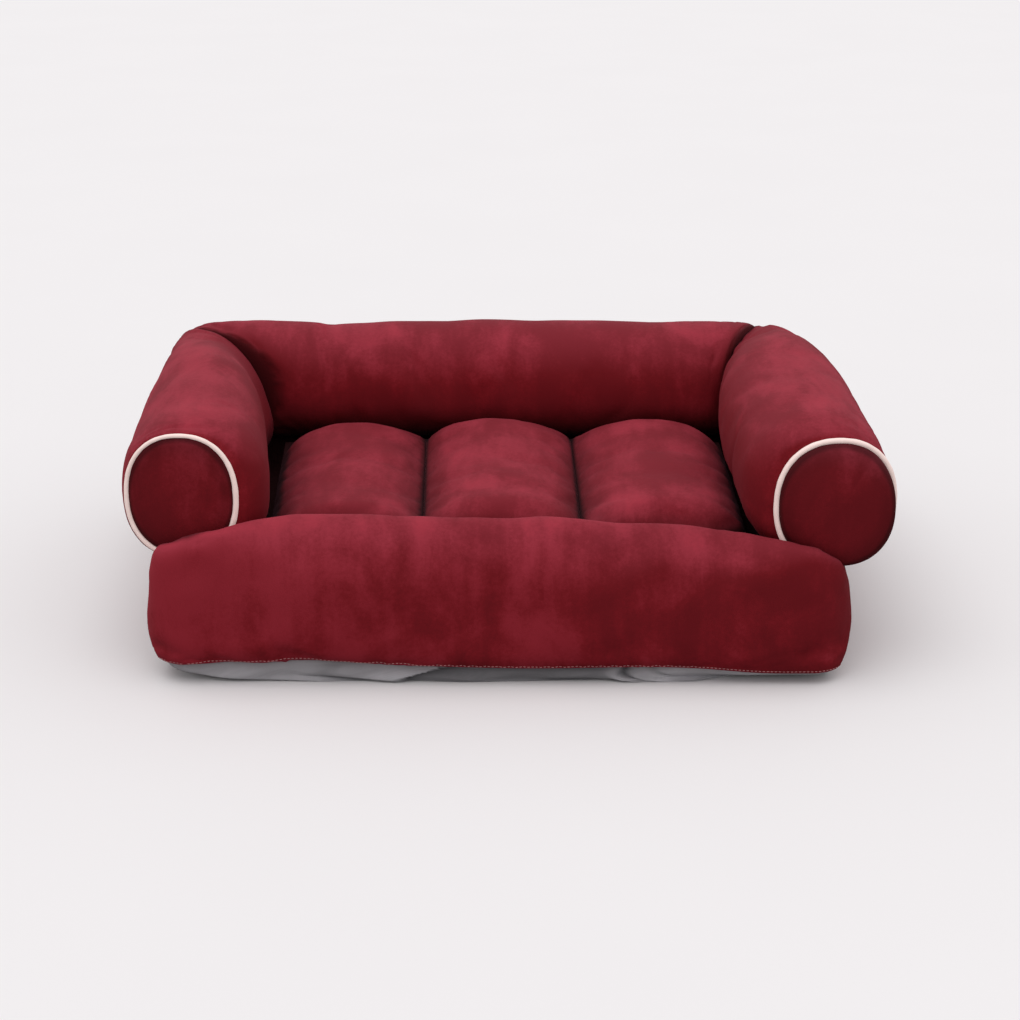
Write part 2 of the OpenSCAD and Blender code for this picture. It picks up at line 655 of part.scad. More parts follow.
// Piping cord round the disc, sewn into the seam between the disc and the arm
module arm_piping() {
    piping_n = 32;
    tube_n = 6;
    out = piping_d / 2 + 0.2;
    centre_y = disc_y - rest_gap - velvet_t / 2;
    function loop_at(a) = [
        disc_x + (disc_w / 2 + out) * squared(cos(a), bolster_power),
        disc_z + (disc_h / 2 + out) * squared(sin(a), bolster_power)
    ];
    rings = [for (j = [0 : piping_n - 1]) let (
        a = 360 * j / piping_n,
        here = loop_at(a),
        ahead = loop_at(a + 4) - loop_at(a - 4),
        outward = [ahead[1], -ahead[0]] / norm(ahead)
    ) [for (i = [0 : tube_n - 1]) let (b = 360 * i / tube_n) [
        here[0] + piping_d / 2 * cos(b) * outward[0],
        centre_y + piping_d / 2 * sin(b),
        here[1] + piping_d / 2 * cos(b) * outward[1]
    ]]];
    color(piping_colour) sleeve(rings);
}

// Fibre in an arm, domed behind the disc
module arm_stuffing(arm) {
    nose_in = fill_in + 1;
    nose = [for (s = [0.55, 0.9]) disc_ring(s, fill_gap + 0.3, nose_in)];
    body = [for (s = arm_shares(arm)) arm_ring(arm, s, fill_in)];
    color(fibre)
        loft(concat(nose, body),
            [disc_x, disc_y - disc_dome + fill_gap + 0.3, disc_z],
            arm_hub(arm, fill_in),
            clockwise = true);
}

module right_arm_cover() { arm_bag(right_arm); }
module right_arm_disc() { arm_disc(); }
module right_arm_piping() { arm_piping(); }
module right_arm_fill() { arm_stuffing(right_arm); }
module left_arm_cover() { mirror([1, 0, 0]) arm_bag(left_arm); }
module left_arm_disc() { mirror([1, 0, 0]) arm_disc(); }
module left_arm_piping() { mirror([1, 0, 0]) arm_piping(); }
module left_arm_fill() { mirror([1, 0, 0]) arm_stuffing(left_arm); }

// Back bolster, from corner seam to corner seam, with its left end free behind the left arm
back_n = 10;
back_corner_y = rear_y - back_in - back_corner_run;
function back_left(y, depth) = min(
    seam_x(left_arm, y, depth),
    arm_out_x - back_end_in - corner_in(y - back_corner_y, back_corner_run) - depth
);
function back_right(y, depth) = seam_x(right_arm, y, depth);
function back_x(y, share, depth) = mix(-back_left(y, depth), back_right(y, depth), share);
function back_ring(share, depth) = let (
    from_left = back_x(back_y, share, 0) + back_left(back_y, 0),
    from_right = back_right(back_y, 0) - back_x(back_y, share, 0),
    high = back_top_z - pinched(from_left, left_seam_dip) - pinched(from_right, right_seam_dip),
    half_across = back_w / 2 - pinched(from_left, seam_pinch) - pinched(from_right, seam_pinch)
) [for (p = section(back_y, half_across, under_z, high, 0, depth)) let (
    x = back_x(p[0], share, depth),
    past = seam_x(left_arm, p[2], 0) - back_left(p[2], 0),
    close = closed(freed(past), x + back_left(p[0], depth))
) [x, p[0], shut(p[1], under_z, high, close, depth)]];
function back_hub(share, depth) =
    [back_x(back_y, share, depth), back_y, mix(rest_z, back_top_z, closed_at)];
back_shares = [for (i = [0 : back_n]) even_ends(i, back_n)];

// Velvet of the back, closed at both ends
module back_cover() {
    outer = [for (s = back_shares) back_ring(s, 0)];
    inner = [for (s = back_shares) back_ring(s, velvet_t)];
    color(velvet) difference() {
        loft(outer, back_hub(0, 0), back_hub(1, 0));
        loft(inner, back_hub(0, velvet_t), back_hub(1, velvet_t));
    }
}

module back_fill() {
    color(fibre)
        loft([for (s = back_shares) back_ring(s, fill_in)], back_hub(0, fill_in), back_hub(1, fill_in));
}

// The zip lies in the slot of the rear wall, its tapes sewn to the inner face of the velvet
tape_mid_y = rear_y - tape_deep;
chain_in_y = tape_mid_y - tooth_t / 2;
stop_w = 4;
zip_end_x = slot_len / 2;
// Middle of the slider with the zip closed
slider_closed_x = zip_end_x - stop_w - slider_len / 2 - 2;
// Half length of the slider's divider, and its distance ahead of the slider's middle
divider_half = 1.6;
divider_x = 5.4;

module tape(side) {
    low = side > 0 ? zip_z + tooth_reach : zip_z - tooth_reach - tape_w;
    color(tape_colour)
        translate([-slot_len / 2 - tape_end, tape_mid_y - tape_t / 2, low])
            cube([slot_len + 2 * tape_end, tape_t, tape_w]);
}
module zip_tape_upper() { tape(1); }
module zip_tape_lower() { tape(-1); }

// A row of teeth; the lower row is half a pitch further along, so that the two mesh
module teeth(side) {
    first = -zip_end_x + stop_w + 1 + (side > 0 ? 0 : tooth_pitch / 2);
    last = slider_closed_x + divider_x - divider_half - 0.5 - tooth_w;
    low = side > 0 ? zip_z - tooth_hook : zip_z - tooth_reach;
    color(tooth_colour)
    for (x = [first : tooth_pitch : last])
        translate([x, chain_in_y, low]) cube([tooth_w, tooth_t, tooth_reach + tooth_hook]);
}
module zip_teeth_upper() { teeth(1); }
module zip_teeth_lower() { teeth(-1); }

// Two stops past the closed end of the zip and one broad stop at its open end
module zip_stops() {
    color(metal_colour) {
        for (side = [-1, 1])
            translate([zip_end_x - stop_w, chain_in_y, zip_z + (side > 0 ? 0.8 : -tooth_reach)])
                cube([stop_w - 0.5, tooth_t, tooth_reach - 0.8]);
        translate([-zip_end_x + 0.5, chain_in_y, zip_z - tooth_reach])
            cube([stop_w - 0.5, tooth_t, 2 * tooth_reach]);
    }
}

// Slider: two shield-shaped plates with turned-in edges, a divider between them that parts
// the teeth, and a bridge for the pull. The shield is broad at the end where the teeth part.
plate_out_y = rear_y + plate_out;
plate_in_y = chain_in_y - slider_gap - slider_plate_t;
flange_h = (tooth_t - tape_t) / 2;
flange_w = 1.5;
narrow_half = tooth_reach + slider_gap + flange_w + 0.3;
bridge_half = slider_len / 2 - 3;
bridge_w = 3;
crossbar_y = plate_out_y + slider_plate_t + slider_gap + crossbar_d / 2;

module shield(thickness) {
    half = slider_len / 2;
    wide = slider_w / 2;
    // Laid out in X and Z and given its thickness along Y
    rotate([90, 0, 0]) mirror([0, 0, 1])
    linear_extrude(thickness)
        polygon([
            [-half, -narrow_half + 1.5], [-half + 1.5, -narrow_half], [0, -narrow_half],
            [half - 3, -wide], [half - 1, -wide + 1], [half, -wide + 4],
            [half, wide - 4], [half - 1, wide - 1], [half - 3, wide],
            [0, narrow_half], [-half + 1.5, narrow_half], [-half, narrow_half - 1.5]
        ]);
}

module zip_slider() {
    color(metal_colour)
    translate([slider_closed_x, 0, zip_z]) {
        translate([0, plate_out_y, 0]) shield(slider_plate_t);
        translate([0, plate_in_y, 0]) shield(slider_plate_t);
        // Turned-in edges on the narrow half
        for (side = [-1, 1]) {
            z = side * (tooth_reach + slider_gap + flange_w / 2) - flange_w / 2;
            translate([-slider_len / 2 + 2, plate_out_y - flange_h, z])
                cube([slider_len / 2 - 2.5, flange_h + 0.2, flange_w]);
            translate([-slider_len / 2 + 2, plate_in_y + slider_plate_t - 0.2, z])
                cube([slider_len / 2 - 2.5, flange_h + 0.2, flange_w]);
        }
        // Divider
        translate([divider_x, plate_in_y + 0.5, 0])
            rotate([-90, 0, 0])
                linear_extrude(plate_out_y - plate_in_y)
                    polygon([[-divider_half, 0], [0, -1.5], [divider_half, 0], [0, 1.5]]);
        // Bridge
        translate([0, plate_out_y + slider_plate_t, -bridge_w / 2])
            linear_extrude(bridge_w)
                polygon([
                    [-bridge_half, -0.2], [-bridge_half, bridge_inside + bridge_t],
                    [bridge_half, bridge_inside + bridge_t], [bridge_half, -0.2],
                    [bridge_half - bridge_t, -0.2], [bridge_half - bridge_t, bridge_inside],
                    [-bridge_half + bridge_t, bridge_inside], [-bridge_half + bridge_t, -0.2]
                ]);
    }
}

// Pull: a crossbar under the bridge, and a fork that carries it and runs out into a tab
module zip_pull() {
    fork_in = bridge_w / 2 + 0.7;
    fork_out = fork_in + 1.6;
    fork_t = crossbar_d - 0.2;
    fork_len = bridge_half + 3.5;
    color(metal_colour)
    translate([slider_closed_x, crossbar_y, zip_z]) {
        translate([0, 0, -fork_out + 0.2]) cylinder(d = crossbar_d, h = 2 * fork_out - 0.4, $fn = 24);
        translate([0, fork_t / 2, 0])
            rotate([90, 0, 0])
                linear_extrude(fork_t)
                    polygon([
                        [0.6, fork_in], [0.6, fork_out], [-fork_len, fork_out],
                        [-fork_len - 4, pull_w / 2], [2 - pull_len, pull_w / 2],
                        [-pull_len, pull_w / 2 - 2], [-pull_len, 2 - pull_w / 2],
                        [2 - pull_len, -pull_w / 2], [-fork_len - 4, -pull_w / 2],
                        [-fork_len, -fork_out], [0.6, -fork_out], [0.6, -fork_in],
                        [-fork_len, -fork_in], [-fork_len, fork_in]
                    ]);
    }
}

base_cover();
base_fill();
rim_fill();
bottom_panel();
seat_cover();
seat_fill_left();
seat_fill_centre();
seat_fill_right();
back_cover();
back_fill();
left_arm_cover();
left_arm_disc();
left_arm_piping();
left_arm_fill();
right_arm_cover();
right_arm_disc();
right_arm_piping();
right_arm_fill();
zip_tape_upper();
zip_tape_lower();
zip_teeth_upper();
zip_teeth_lower();
zip_stops();
zip_slider();
zip_pull();
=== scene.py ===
"""Sofa-shaped dog bed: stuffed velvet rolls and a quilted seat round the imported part.

Every piece is in metres in the part's own frame: X to the right of someone facing the
bed, the front towards -Y, Z up from the floor.
"""

import math

import bpy
import numpy as np
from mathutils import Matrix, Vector


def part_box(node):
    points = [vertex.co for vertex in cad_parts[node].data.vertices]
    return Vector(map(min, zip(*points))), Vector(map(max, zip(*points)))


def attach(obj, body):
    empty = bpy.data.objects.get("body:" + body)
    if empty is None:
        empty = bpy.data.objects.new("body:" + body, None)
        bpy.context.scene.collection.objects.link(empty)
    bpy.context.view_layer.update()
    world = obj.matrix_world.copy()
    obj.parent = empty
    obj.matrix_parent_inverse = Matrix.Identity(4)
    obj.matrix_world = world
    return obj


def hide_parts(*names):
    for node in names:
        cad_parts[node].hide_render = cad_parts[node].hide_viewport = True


bl_info = {
    "name": "Sofa dog bed",
    "version": (1, 0, 0),
    "blender": (4, 5, 0),
    "location": "View3D > Sidebar > Dog bed",
    "description": "Stuffed velvet, piping, bag cloth and zip of a sofa-shaped dog bed",
    "category": "Add Mesh",
}

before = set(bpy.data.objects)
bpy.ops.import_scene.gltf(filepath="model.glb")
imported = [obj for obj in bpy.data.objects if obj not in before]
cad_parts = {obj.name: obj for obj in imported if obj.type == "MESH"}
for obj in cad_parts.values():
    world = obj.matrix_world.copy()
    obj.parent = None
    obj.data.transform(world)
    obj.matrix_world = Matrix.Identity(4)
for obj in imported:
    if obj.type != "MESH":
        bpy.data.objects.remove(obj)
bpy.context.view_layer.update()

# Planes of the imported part: the base's front and rear, the deck, the seat's front and the zip
BASE_LOW, BASE_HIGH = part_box("base_cover")
SEAT_LOW, SEAT_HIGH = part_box("seat_cover")
FRONT_Y, REAR_Y = BASE_LOW.y, BASE_HIGH.y
REST_Z = SEAT_LOW.z
SEAT_FRONT = SEAT_LOW.y
SEAT_REAR = SEAT_HIGH.y + 0.006
ZIP_Z = (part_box("zip_tape_upper")[1].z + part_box("zip_tape_lower")[0].z) / 2

# Middle of the base, which stands a little to the left
MIDDLE_X = -0.01

TAU = 2 * math.pi
SIDE_NAMES = {-1: "left", 1: "right"}


# ---------------------------------------------------------------- numbers and curves


def mix(a, b, t):
    """a where t is 0 and b where t is 1."""
    return a + (b - a) * t


def smooth(t):
    """0 to 1 with level ends: 3 t squared less 2 t cubed, held outside 0 to 1."""
    t = np.clip(t, 0, 1)
    return t * t * (3 - 2 * t)


def quarter(t, power=2.0):
    """Rise of a quarter of a squared ellipse from 0 to 1, steep at first."""
    return (1 - (1 - np.clip(t, 0, 1)) ** power) ** (1 / power)


def squared(v, power):
    """Cosine or sine of a squared ellipse: sign of v times |v| to the power 2 / power."""
    return np.sign(v) * np.abs(v) ** (2 / power)


def through(at, stations, values):
    """Smooth curve through a few stations: cubic pieces with mean slopes, level beyond the ends."""
    x = np.asarray(stations, float)
    v = np.asarray(values, float)
    slope = np.gradient(v, x)
    at = np.clip(at, x[0], x[-1])
    k = np.clip(np.searchsorted(x, at, side="right") - 1, 0, len(x) - 2)
    h = x[k + 1] - x[k]
    t = (at - x[k]) / h
    return (
        (2 * t**3 - 3 * t**2 + 1) * v[k]
        + (t**3 - 2 * t**2 + t) * h * slope[k]
        + (3 * t**2 - 2 * t**3) * v[k + 1]
        + (t**3 - t**2) * h * slope[k + 1]
    )


def lumps(points, size, seed):
    """Soft unevenness between -1 and 1: a mean of sine waves in seeded directions, size apart."""
    rng = np.random.RandomState(seed)
    ways = rng.normal(size=(9, 3))
    ways /= np.linalg.norm(ways, axis=1)[:, None]
    rates = TAU / size * rng.uniform(0.6, 1.5, 9)
    starts = rng.uniform(0, TAU, 9)
    waves = np.sin(points @ (ways * rates[:, None]).T + starts)
    return np.clip(waves.mean(axis=-1) * 2.2, -1, 1)


# ---------------------------------------------------------------- meshes


def build(name, rows, first_pole=None, last_pole=None):
    """Closed mesh through rows of points, (row, point, xyz), each row closed on itself.

    Quads join neighbouring rows and a fan joins an end row to its pole. Without poles the
    last row joins the first, as in a ring.
    """
    rows = np.asarray(rows, float)
    m, n = rows.shape[:2]
    points = rows.reshape(-1, 3)
    j = np.arange(n)
    k = (j + 1) % n
    ring = np.arange(m if first_pole is None else m - 1)[:, None] * n
    after = (ring + n) % (m * n)
    quads = np.stack([ring + j, ring + k, after + k, after + j], axis=-1).reshape(-1, 4)
    faces = quads.tolist()
    if first_pole is not None:
        points = np.vstack([points, first_pole, last_pole])
        faces += np.stack([np.full(n, m * n), k, j], axis=-1).tolist()
        last = (m - 1) * n
        faces += np.stack([np.full(n, m * n + 1), last + j, last + k], axis=-1).tolist()
    return add_piece(name, points, faces)


def add_piece(name, points, faces):
    """A smoothly shaded piece at the origin, its faces outward."""
    mesh = bpy.data.meshes.new(name)
    mesh.from_pydata(points.tolist(), [], faces)
    mesh.update()
    mesh.shade_smooth()
    piece = bpy.data.objects.new(name, mesh)
    bpy.context.scene.collection.objects.link(piece)
    turn_outward(piece)
    return piece


def read(piece):
    """The piece's points as an array."""
    co = np.zeros(len(piece.data.vertices) * 3, np.float32)
    piece.data.vertices.foreach_get("co", co)
    return co.reshape(-1, 3).astype(float)


def write(piece, points):
    """Puts an array of points into the piece."""
    piece.data.vertices.foreach_set("co", np.asarray(points, np.float32).ravel())
    piece.data.update()


def normals(piece):
    """The piece's outward directions at its points, as an array."""
    out = np.zeros(len(piece.data.vertices) * 3, np.float32)
    piece.data.vertex_normals.foreach_get("vector", out)
    return out.reshape(-1, 3).astype(float)


def turn_outward(piece):
    """Flips the faces where the rows ran the other way round, by the sign of the volume."""
    points = read(piece)
    tris = np.zeros(len(piece.data.loop_triangles) * 3, np.int32)
    piece.data.loop_triangles.foreach_get("vertices", tris)
    a, b, c = (points[tris.reshape(-1, 3)[:, i]] for i in range(3))
    if np.einsum("ij,ij->i", a, np.cross(b, c)).sum() < 0:
        piece.data.flip_normals()


def paint(piece, deep=0.0, brush=0.0, painted_highlight=0.0):
    """Notes at each point what the velvet's colour follows.

    rise is how far the face turns up, at least the painted highlight, and paints upward faces paler and
    pinker as light from above; the painted shade is 1 in seams and crevices, which are painted near black;
    brush goes from -1 (dark) to 1 (light), the way the nap was stroked together with painted light and
    shade.
    """
    count = len(piece.data.vertices)
    # Painted light: the further a face turns up, the paler and pinker it is painted
    rise = np.maximum(smooth((normals(piece)[:, 2] + 0.15) / 1.05), painted_highlight)
    for name, values in (("rise", rise), ("deep", deep), ("brush", brush)):
        layer = piece.data.attributes.new(name, "FLOAT", "POINT")
        layer.data.foreach_set("value", np.broadcast_to(values, count).astype(np.float32))


def unit(vectors):
    """Vectors of length 1 in the same directions."""
    return vectors / np.linalg.norm(vectors, axis=-1, keepdims=True)


# Length from one stitch to the next, the share of it that shows, and the thread's radius
STITCH_PITCH = 0.0042
STITCH_SHARE = 0.74
THREAD_R = 0.00042
# Circles along a stitch, and points round each circle
STITCH_COUNT = 5


def stitches(name, path, out):
    """A row of stitches sewn along a path, out pointing away from the cloth at each point.

    A stitch takes up a share of the pitch. Its middle line stands off the path by the
    thread's radius times the sine of its progress, and round that line runs a circle whose
    radius goes with the root of the same sine, so both ends dip into the cloth and close.
    """
    run = np.concatenate([[0], np.cumsum(np.linalg.norm(np.diff(path, axis=0), axis=1))])
    count = int(run[-1] / STITCH_PITCH)
    n = STITCH_COUNT
    share = np.linspace(0.02, 0.98, n)
    at = (np.arange(count)[:, None] + STITCH_SHARE * share) * STITCH_PITCH
    middle, away = (np.stack([np.interp(at, run, v) for v in w.T], axis=-1) for w in (path, out))
    ahead = unit(np.gradient(middle, axis=1))
    away = unit(away - ahead * np.sum(ahead * away, axis=-1, keepdims=True))
    aside = np.cross(ahead, away)
    proud = np.sin(math.pi * share)[None, :, None]
    middle = middle + away * proud * THREAD_R
    b = (TAU * np.arange(n) / n)[None, None, :, None]
    around = np.cos(b) * aside[:, :, None] + np.sin(b) * away[:, :, None]
    rings = middle[:, :, None] + around * (THREAD_R * np.sqrt(proud))[..., None]
    first = n * n * np.arange(count)[:, None]
    row, k = np.divmod(np.arange(n * n - n), n)
    a, c = n * row + k, n * row + (k + 1) % n
    quads = np.stack([first + a, first + c, first + c + n, first + a + n], axis=-1).reshape(-1, 4)
    caps = np.concatenate([first + np.arange(n)[::-1], first + n * n - n + np.arange(n)])
    return add_piece(name, rings.reshape(-1, 3), quads.tolist() + caps.tolist())


def press(points, inward, form, gap, steps=6):
    """Moves points inward until they clear a roll's surface by the gap, a few steps at a time."""
    for _ in range(steps):
        points = points + inward * np.clip(form.depth(points) + gap, 0, None)[:, None]
    return points


def finer(piece):
    """Rounds the facets off with one subdivision, the same in view and render."""
    mod = piece.modifiers.new("rounding", "SUBSURF")
    mod.levels = 1
    mod.render_levels = 1


# How much larger than its form the velvet is cut, the furthest a point of it may move, and
# the frames of the simulation
CLOTH_SLACK = 0.02
CLOTH_REACH = 0.004
CLOTH_FRAMES = 20


def stuff(piece, held, pressure=4.0):
    """Swells the velvet over its filling with the cloth solver, and applies the result.

    held is 1 where a seam or the deck holds the cloth and 0 where it is free. A move of
    length d becomes reach times d / (reach + d), so no point goes further than the reach.
    """
    rest = read(piece)
    group = piece.vertex_groups.new(name="held")
    for i in np.nonzero(held > 0.01)[0].tolist():
        group.add([i], float(held[i]), "REPLACE")
    cloth = piece.modifiers.new("filling", "CLOTH")
    cloth.settings.quality = 4
    cloth.settings.mass = 0.2
    cloth.settings.tension_stiffness = 20
    cloth.settings.compression_stiffness = 20
    cloth.settings.shear_stiffness = 8
    cloth.settings.bending_stiffness = 0.3
    cloth.settings.use_pressure = True
    cloth.settings.uniform_pressure_force = pressure
    cloth.settings.shrink_min = -CLOTH_SLACK
    cloth.settings.vertex_group_mass = "held"
    cloth.settings.effector_weights.gravity = 0
    cloth.collision_settings.use_collision = False
    cloth.collision_settings.use_self_collision = False
    cloth.point_cache.frame_start = 1
    cloth.point_cache.frame_end = CLOTH_FRAMES
    scene = bpy.context.scene
    for at in range(1, CLOTH_FRAMES + 1):
        scene.frame_set(at)
    shaped = piece.evaluated_get(bpy.context.evaluated_depsgraph_get())
    moved = np.zeros(len(rest) * 3, np.float32)
    shaped.data.vertices.foreach_get("co", moved)
    move = moved.reshape(-1, 3) - rest
    length = np.linalg.norm(move, axis=1, keepdims=True)
    move *= CLOTH_REACH / (CLOTH_REACH + length)
    piece.modifiers.remove(cloth)
    piece.vertex_groups.clear()
    scene.frame_set(1)
    write(piece, rest + move)


# ---------------------------------------------------------------- the bolsters' free forms

# Powers of the squared ellipses of a roll's section: its upper half, its lower half settled
# on the deck, and that half of the firmer right arm
SECTION_POWER = 2.25
SETTLED_POWER = 3.3
RIGHT_SETTLED_POWER = 2.3
UNDERSIDE = REST_Z - 0.003
# Share of the height at which a free end closes, and how small it gets there
CLOSE_AT = 0.45
CLOSE_TO = 0.2
# Half the gap between rolls that are sewn together, and the length over which the cloth is
# drawn in at such a seam
CUT_GAP = 0.0004
PINCH_RUN = 0.045


class Bolster:
    """A stuffed roll along X or Y between two end surfaces, pressed flat on the deck.

    form(share) gives, at shares of the length, the middle across, half the width, the
    heights of the top and of the underside, how far across the section leans per height,
    and the power of its lower half, which settles squarer on the deck. start(across) and
    end(across) give where the roll ends along its axis. free(across) is 1 where one end, the
    far one or else the near one, lies free and closes over a run, and 0 where the roll is
    cut along a neighbour.
    """

    def __init__(self, axis, form, start, end, free, run, far=1):
        self.axis, self.form, self.start, self.end = axis, form, start, end
        self.free, self.run, self.far = free, run, far

    def closing(self, share, across):
        """How far the free end has closed: a squared quarter ellipse over its run."""
        length = np.abs(self.end(across) - self.start(across))
        left = (1 - share if self.far > 0 else share) * length
        return mix(1.0, CLOSE_TO + (1 - CLOSE_TO) * quarter(left / self.run, 2.4), self.free(across))

    def section(self, share, a, scale=1.0):
        """Points at a share of the length and an angle round the section."""
        middle, half_w, top, low, lean, settled = (v[:, None] for v in self.form(share))
        power = np.where(np.sin(a) < 0, settled, SECTION_POWER)
        across_part = scale * squared(np.cos(a), power)
        up_part = scale * squared(np.sin(a), power)
        centre, half_h = (top + low) / 2, (top - low) / 2
        across = middle + half_w * across_part + lean * half_h * up_part
        close = self.closing(share[:, None], across)
        up = mix(low + CLOSE_AT * (top - low), centre + half_h * up_part, close)
        start = self.start(across)
        along = start + share[:, None] * (self.end(across) - start)
        out = np.empty(across.shape + (3,))
        out[..., self.axis] = along
        out[..., 1 - self.axis] = across
        out[..., 2] = np.maximum(up, REST_Z)
        return out

    def rows(self, shares, count):
        """Section rings and, at both ends, smaller rings that close them."""
        a = TAU * np.arange(count) / count
        rings = [self.section(shares, a)]
        for scale in (0.9, 0.65, 0.35):
            near = self.section(shares[:1], a, scale)
            far = self.section(shares[-1:], a, scale)
            rings = [near] + rings + [far]
        return np.concatenate(rings)

    def depth(self, points):
        """How deep points lie under the free surface, about, and below zero outside it."""
        along, across = points[:, self.axis], points[:, 1 - self.axis]
        start = self.start(across)
        length = self.end(across) - start
        share = (along - start) / length
        held = np.clip(share, 1e-4, 1 - 1e-4)
        middle, half_w, top, low, lean, settled = self.form(held)
        close = self.closing(held, across)
        half_h = (top - low) / 2 * close
        centre = mix(low + CLOSE_AT * (top - low), (top + low) / 2, close)
        out = np.abs(across - middle - lean * (points[:, 2] - centre)) / half_w
        up = np.abs(points[:, 2] - centre) / half_h
        power = np.where(points[:, 2] < centre, settled, SECTION_POWER)
        level = (out**power + up**power) ** (1 / power)
        return (1 - level) * np.minimum(half_w, half_h) - np.abs(share - held) * np.abs(length)


def corner_seam(side):
    """Inner end of the seam between an arm and the back, from the middle, and its slope."""
    s = bpy.context.scene.bed_sizes
    if side < 0:
        return s.left_mitre_x, s.left_mitre_y, s.left_mitre_slope
    return s.right_mitre_x, s.right_mitre_y, s.right_mitre_slope


def mitre(side, across):
    """Place of that seam: y for an x, a slanting upright plane."""
    x, y, slope = corner_seam(side)
    return y + slope * (across * side - x)


def mitre_x(side, along):
    """The same plane the other way round: x for a y."""
    x, y, slope = corner_seam(side)
    return side * (x + (along - y) / slope)


def pinch(left, run, depth):
    """How far the cloth is drawn in at a distance from a seam: 0 beyond the run."""
    return depth * (1 - quarter(left / run, 2.0))


def nearness(points, forms, reach):
    """1 where points touch one of the rolls, falling to 0 at the reach from it."""
    return np.maximum.reduce([smooth(1 + form.depth(points) / reach) for form in forms])


def corner_turn(over, run):
    """How far a roll's end has turned back at a distance past its corner: a flattened arc."""
    return 0.8 * run * (1 - np.sqrt(1 - np.clip(over / run, 0, 0.98) ** 2))


def disc_sizes(side):
    """A disc's place across the bed, its width, height and top, and how far it is turned."""
    s = bpy.context.scene.bed_sizes
    if side < 0:
        return -s.left_disc_x, s.left_disc_w, s.left_disc_h, s.left_disc_top, 0.0
    return s.right_disc_x, s.right_disc_w, s.right_disc_h, s.right_disc_top, s.right_disc_tilt


def arm_form(side):
    """One arm along Y: it swells behind the disc and ends in the seam with the back.

    The lists give its middle, half width, top and lean at stations from front to rear.
    """
    s = bpy.context.scene.bed_sizes
    edge = s.disc_edge_y
    disc_x, disc_w, disc_h, disc_top, tilt = disc_sizes(side)
    if side < 0:
        stations = [edge, -0.06, 0.03, 0.08, 0.12, 0.16, 0.20]
        middle = [-0.3272, -0.3415, -0.3475, -0.3520, -0.3540, -0.3545, -0.3540]
        half_w = [0.0770, 0.0710, 0.0655, 0.0610, 0.0585, 0.0575, 0.0570]
        top = [0.2700, 0.2700, 0.2675, 0.2615, 0.2550, 0.2500, 0.2480]
        lean = [0.0, -0.02, -0.08, -0.16, -0.25, -0.33, -0.36]
        pinch_h, settled = 0.004, SETTLED_POWER
    else:
        stations = [edge, -0.06, 0.06, 0.12, 0.20, 0.25]
        middle = [0.3205, 0.3190, 0.3170, 0.3160, 0.3170, 0.3190]
        half_w = [0.0770, 0.0770, 0.0760, 0.0730, 0.0680, 0.0650]
        top = [0.2680, 0.2690, 0.2680, 0.2640, 0.2520, 0.2435]
        lean = [0.0, 0.0, 0.0, -0.03, -0.09, -0.12]
        pinch_h, settled = 0.001, RIGHT_SETTLED_POWER

    def end(x):
        cut = mitre(side, x) - CUT_GAP
        if side < 0:
            return cut
        return np.minimum(cut, s.right_arm_end_y - corner_turn(x - s.right_corner_x, s.right_corner_run))

    middle_end = float(end(np.array([middle[-1]]))[0])

    def form(share):
        y = mix(edge, middle_end, share)
        swell = quarter(np.clip((y - edge - s.piping_d / 2) / s.arm_swell_run, 0, 1), 2.2)
        left = middle_end - y
        full_top = through(y, stations, top) - pinch(left, PINCH_RUN, pinch_h)
        full_w = through(y, stations, half_w) - pinch(left, PINCH_RUN, 0.010)
        return (
            mix(disc_x, through(y, stations, middle), swell),
            mix(disc_w / 2, full_w, swell),
            mix(disc_top, full_top, swell),
            mix(disc_top - disc_h, UNDERSIDE, swell),
            through(y, stations, lean) * swell,
            mix(SECTION_POWER, settled, swell),
        )

    def free(x):
        return smooth((x - s.right_corner_x + 0.012) / 0.03) if side > 0 else 0 * x

    def start(x):
        return edge + tilt * np.clip((x - disc_x) / disc_w + 0.5, 0, 1)

    return Bolster(1, form, start, end, free, 0.055)


def back_form():
    """The back bolster along X, cut along the arms, with its left end free at the rear."""
    s = bpy.context.scene.bed_sizes

    def start(y):
        corner = s.back_left_x + corner_turn(y - s.left_corner_y, s.left_corner_run)
        return np.maximum(mitre_x(-1, y - CUT_GAP), corner)

    def end(y):
        return mitre_x(1, y - CUT_GAP)

    middle_y = np.array([s.back_y])
    low, high = float(start(middle_y)[0]), float(end(middle_y)[0])

    def form(share):
        x = mix(low, high, share)
        stations = [low, -0.33, -0.2, 0.1, 0.25, high]
        top = through(x, stations, [0.2500, 0.2525, 0.2525, 0.2515, 0.2510, 0.2505])
        top = top - pinch(x - low, PINCH_RUN, 0.007) - pinch(high - x, PINCH_RUN, 0.003)
        half_w = s.back_w / 2 - pinch(x - low, PINCH_RUN, 0.014) - pinch(high - x, PINCH_RUN, 0.014)
        return s.back_y + 0 * x, half_w, top, UNDERSIDE + 0 * x, 0 * x, SETTLED_POWER + 0 * x

    def free(y):
        return smooth((y - s.left_corner_y + 0.012) / 0.03)

    return Bolster(0, form, start, end, free, 0.045, far=-1)


# ---------------------------------------------------------------- the base cushion


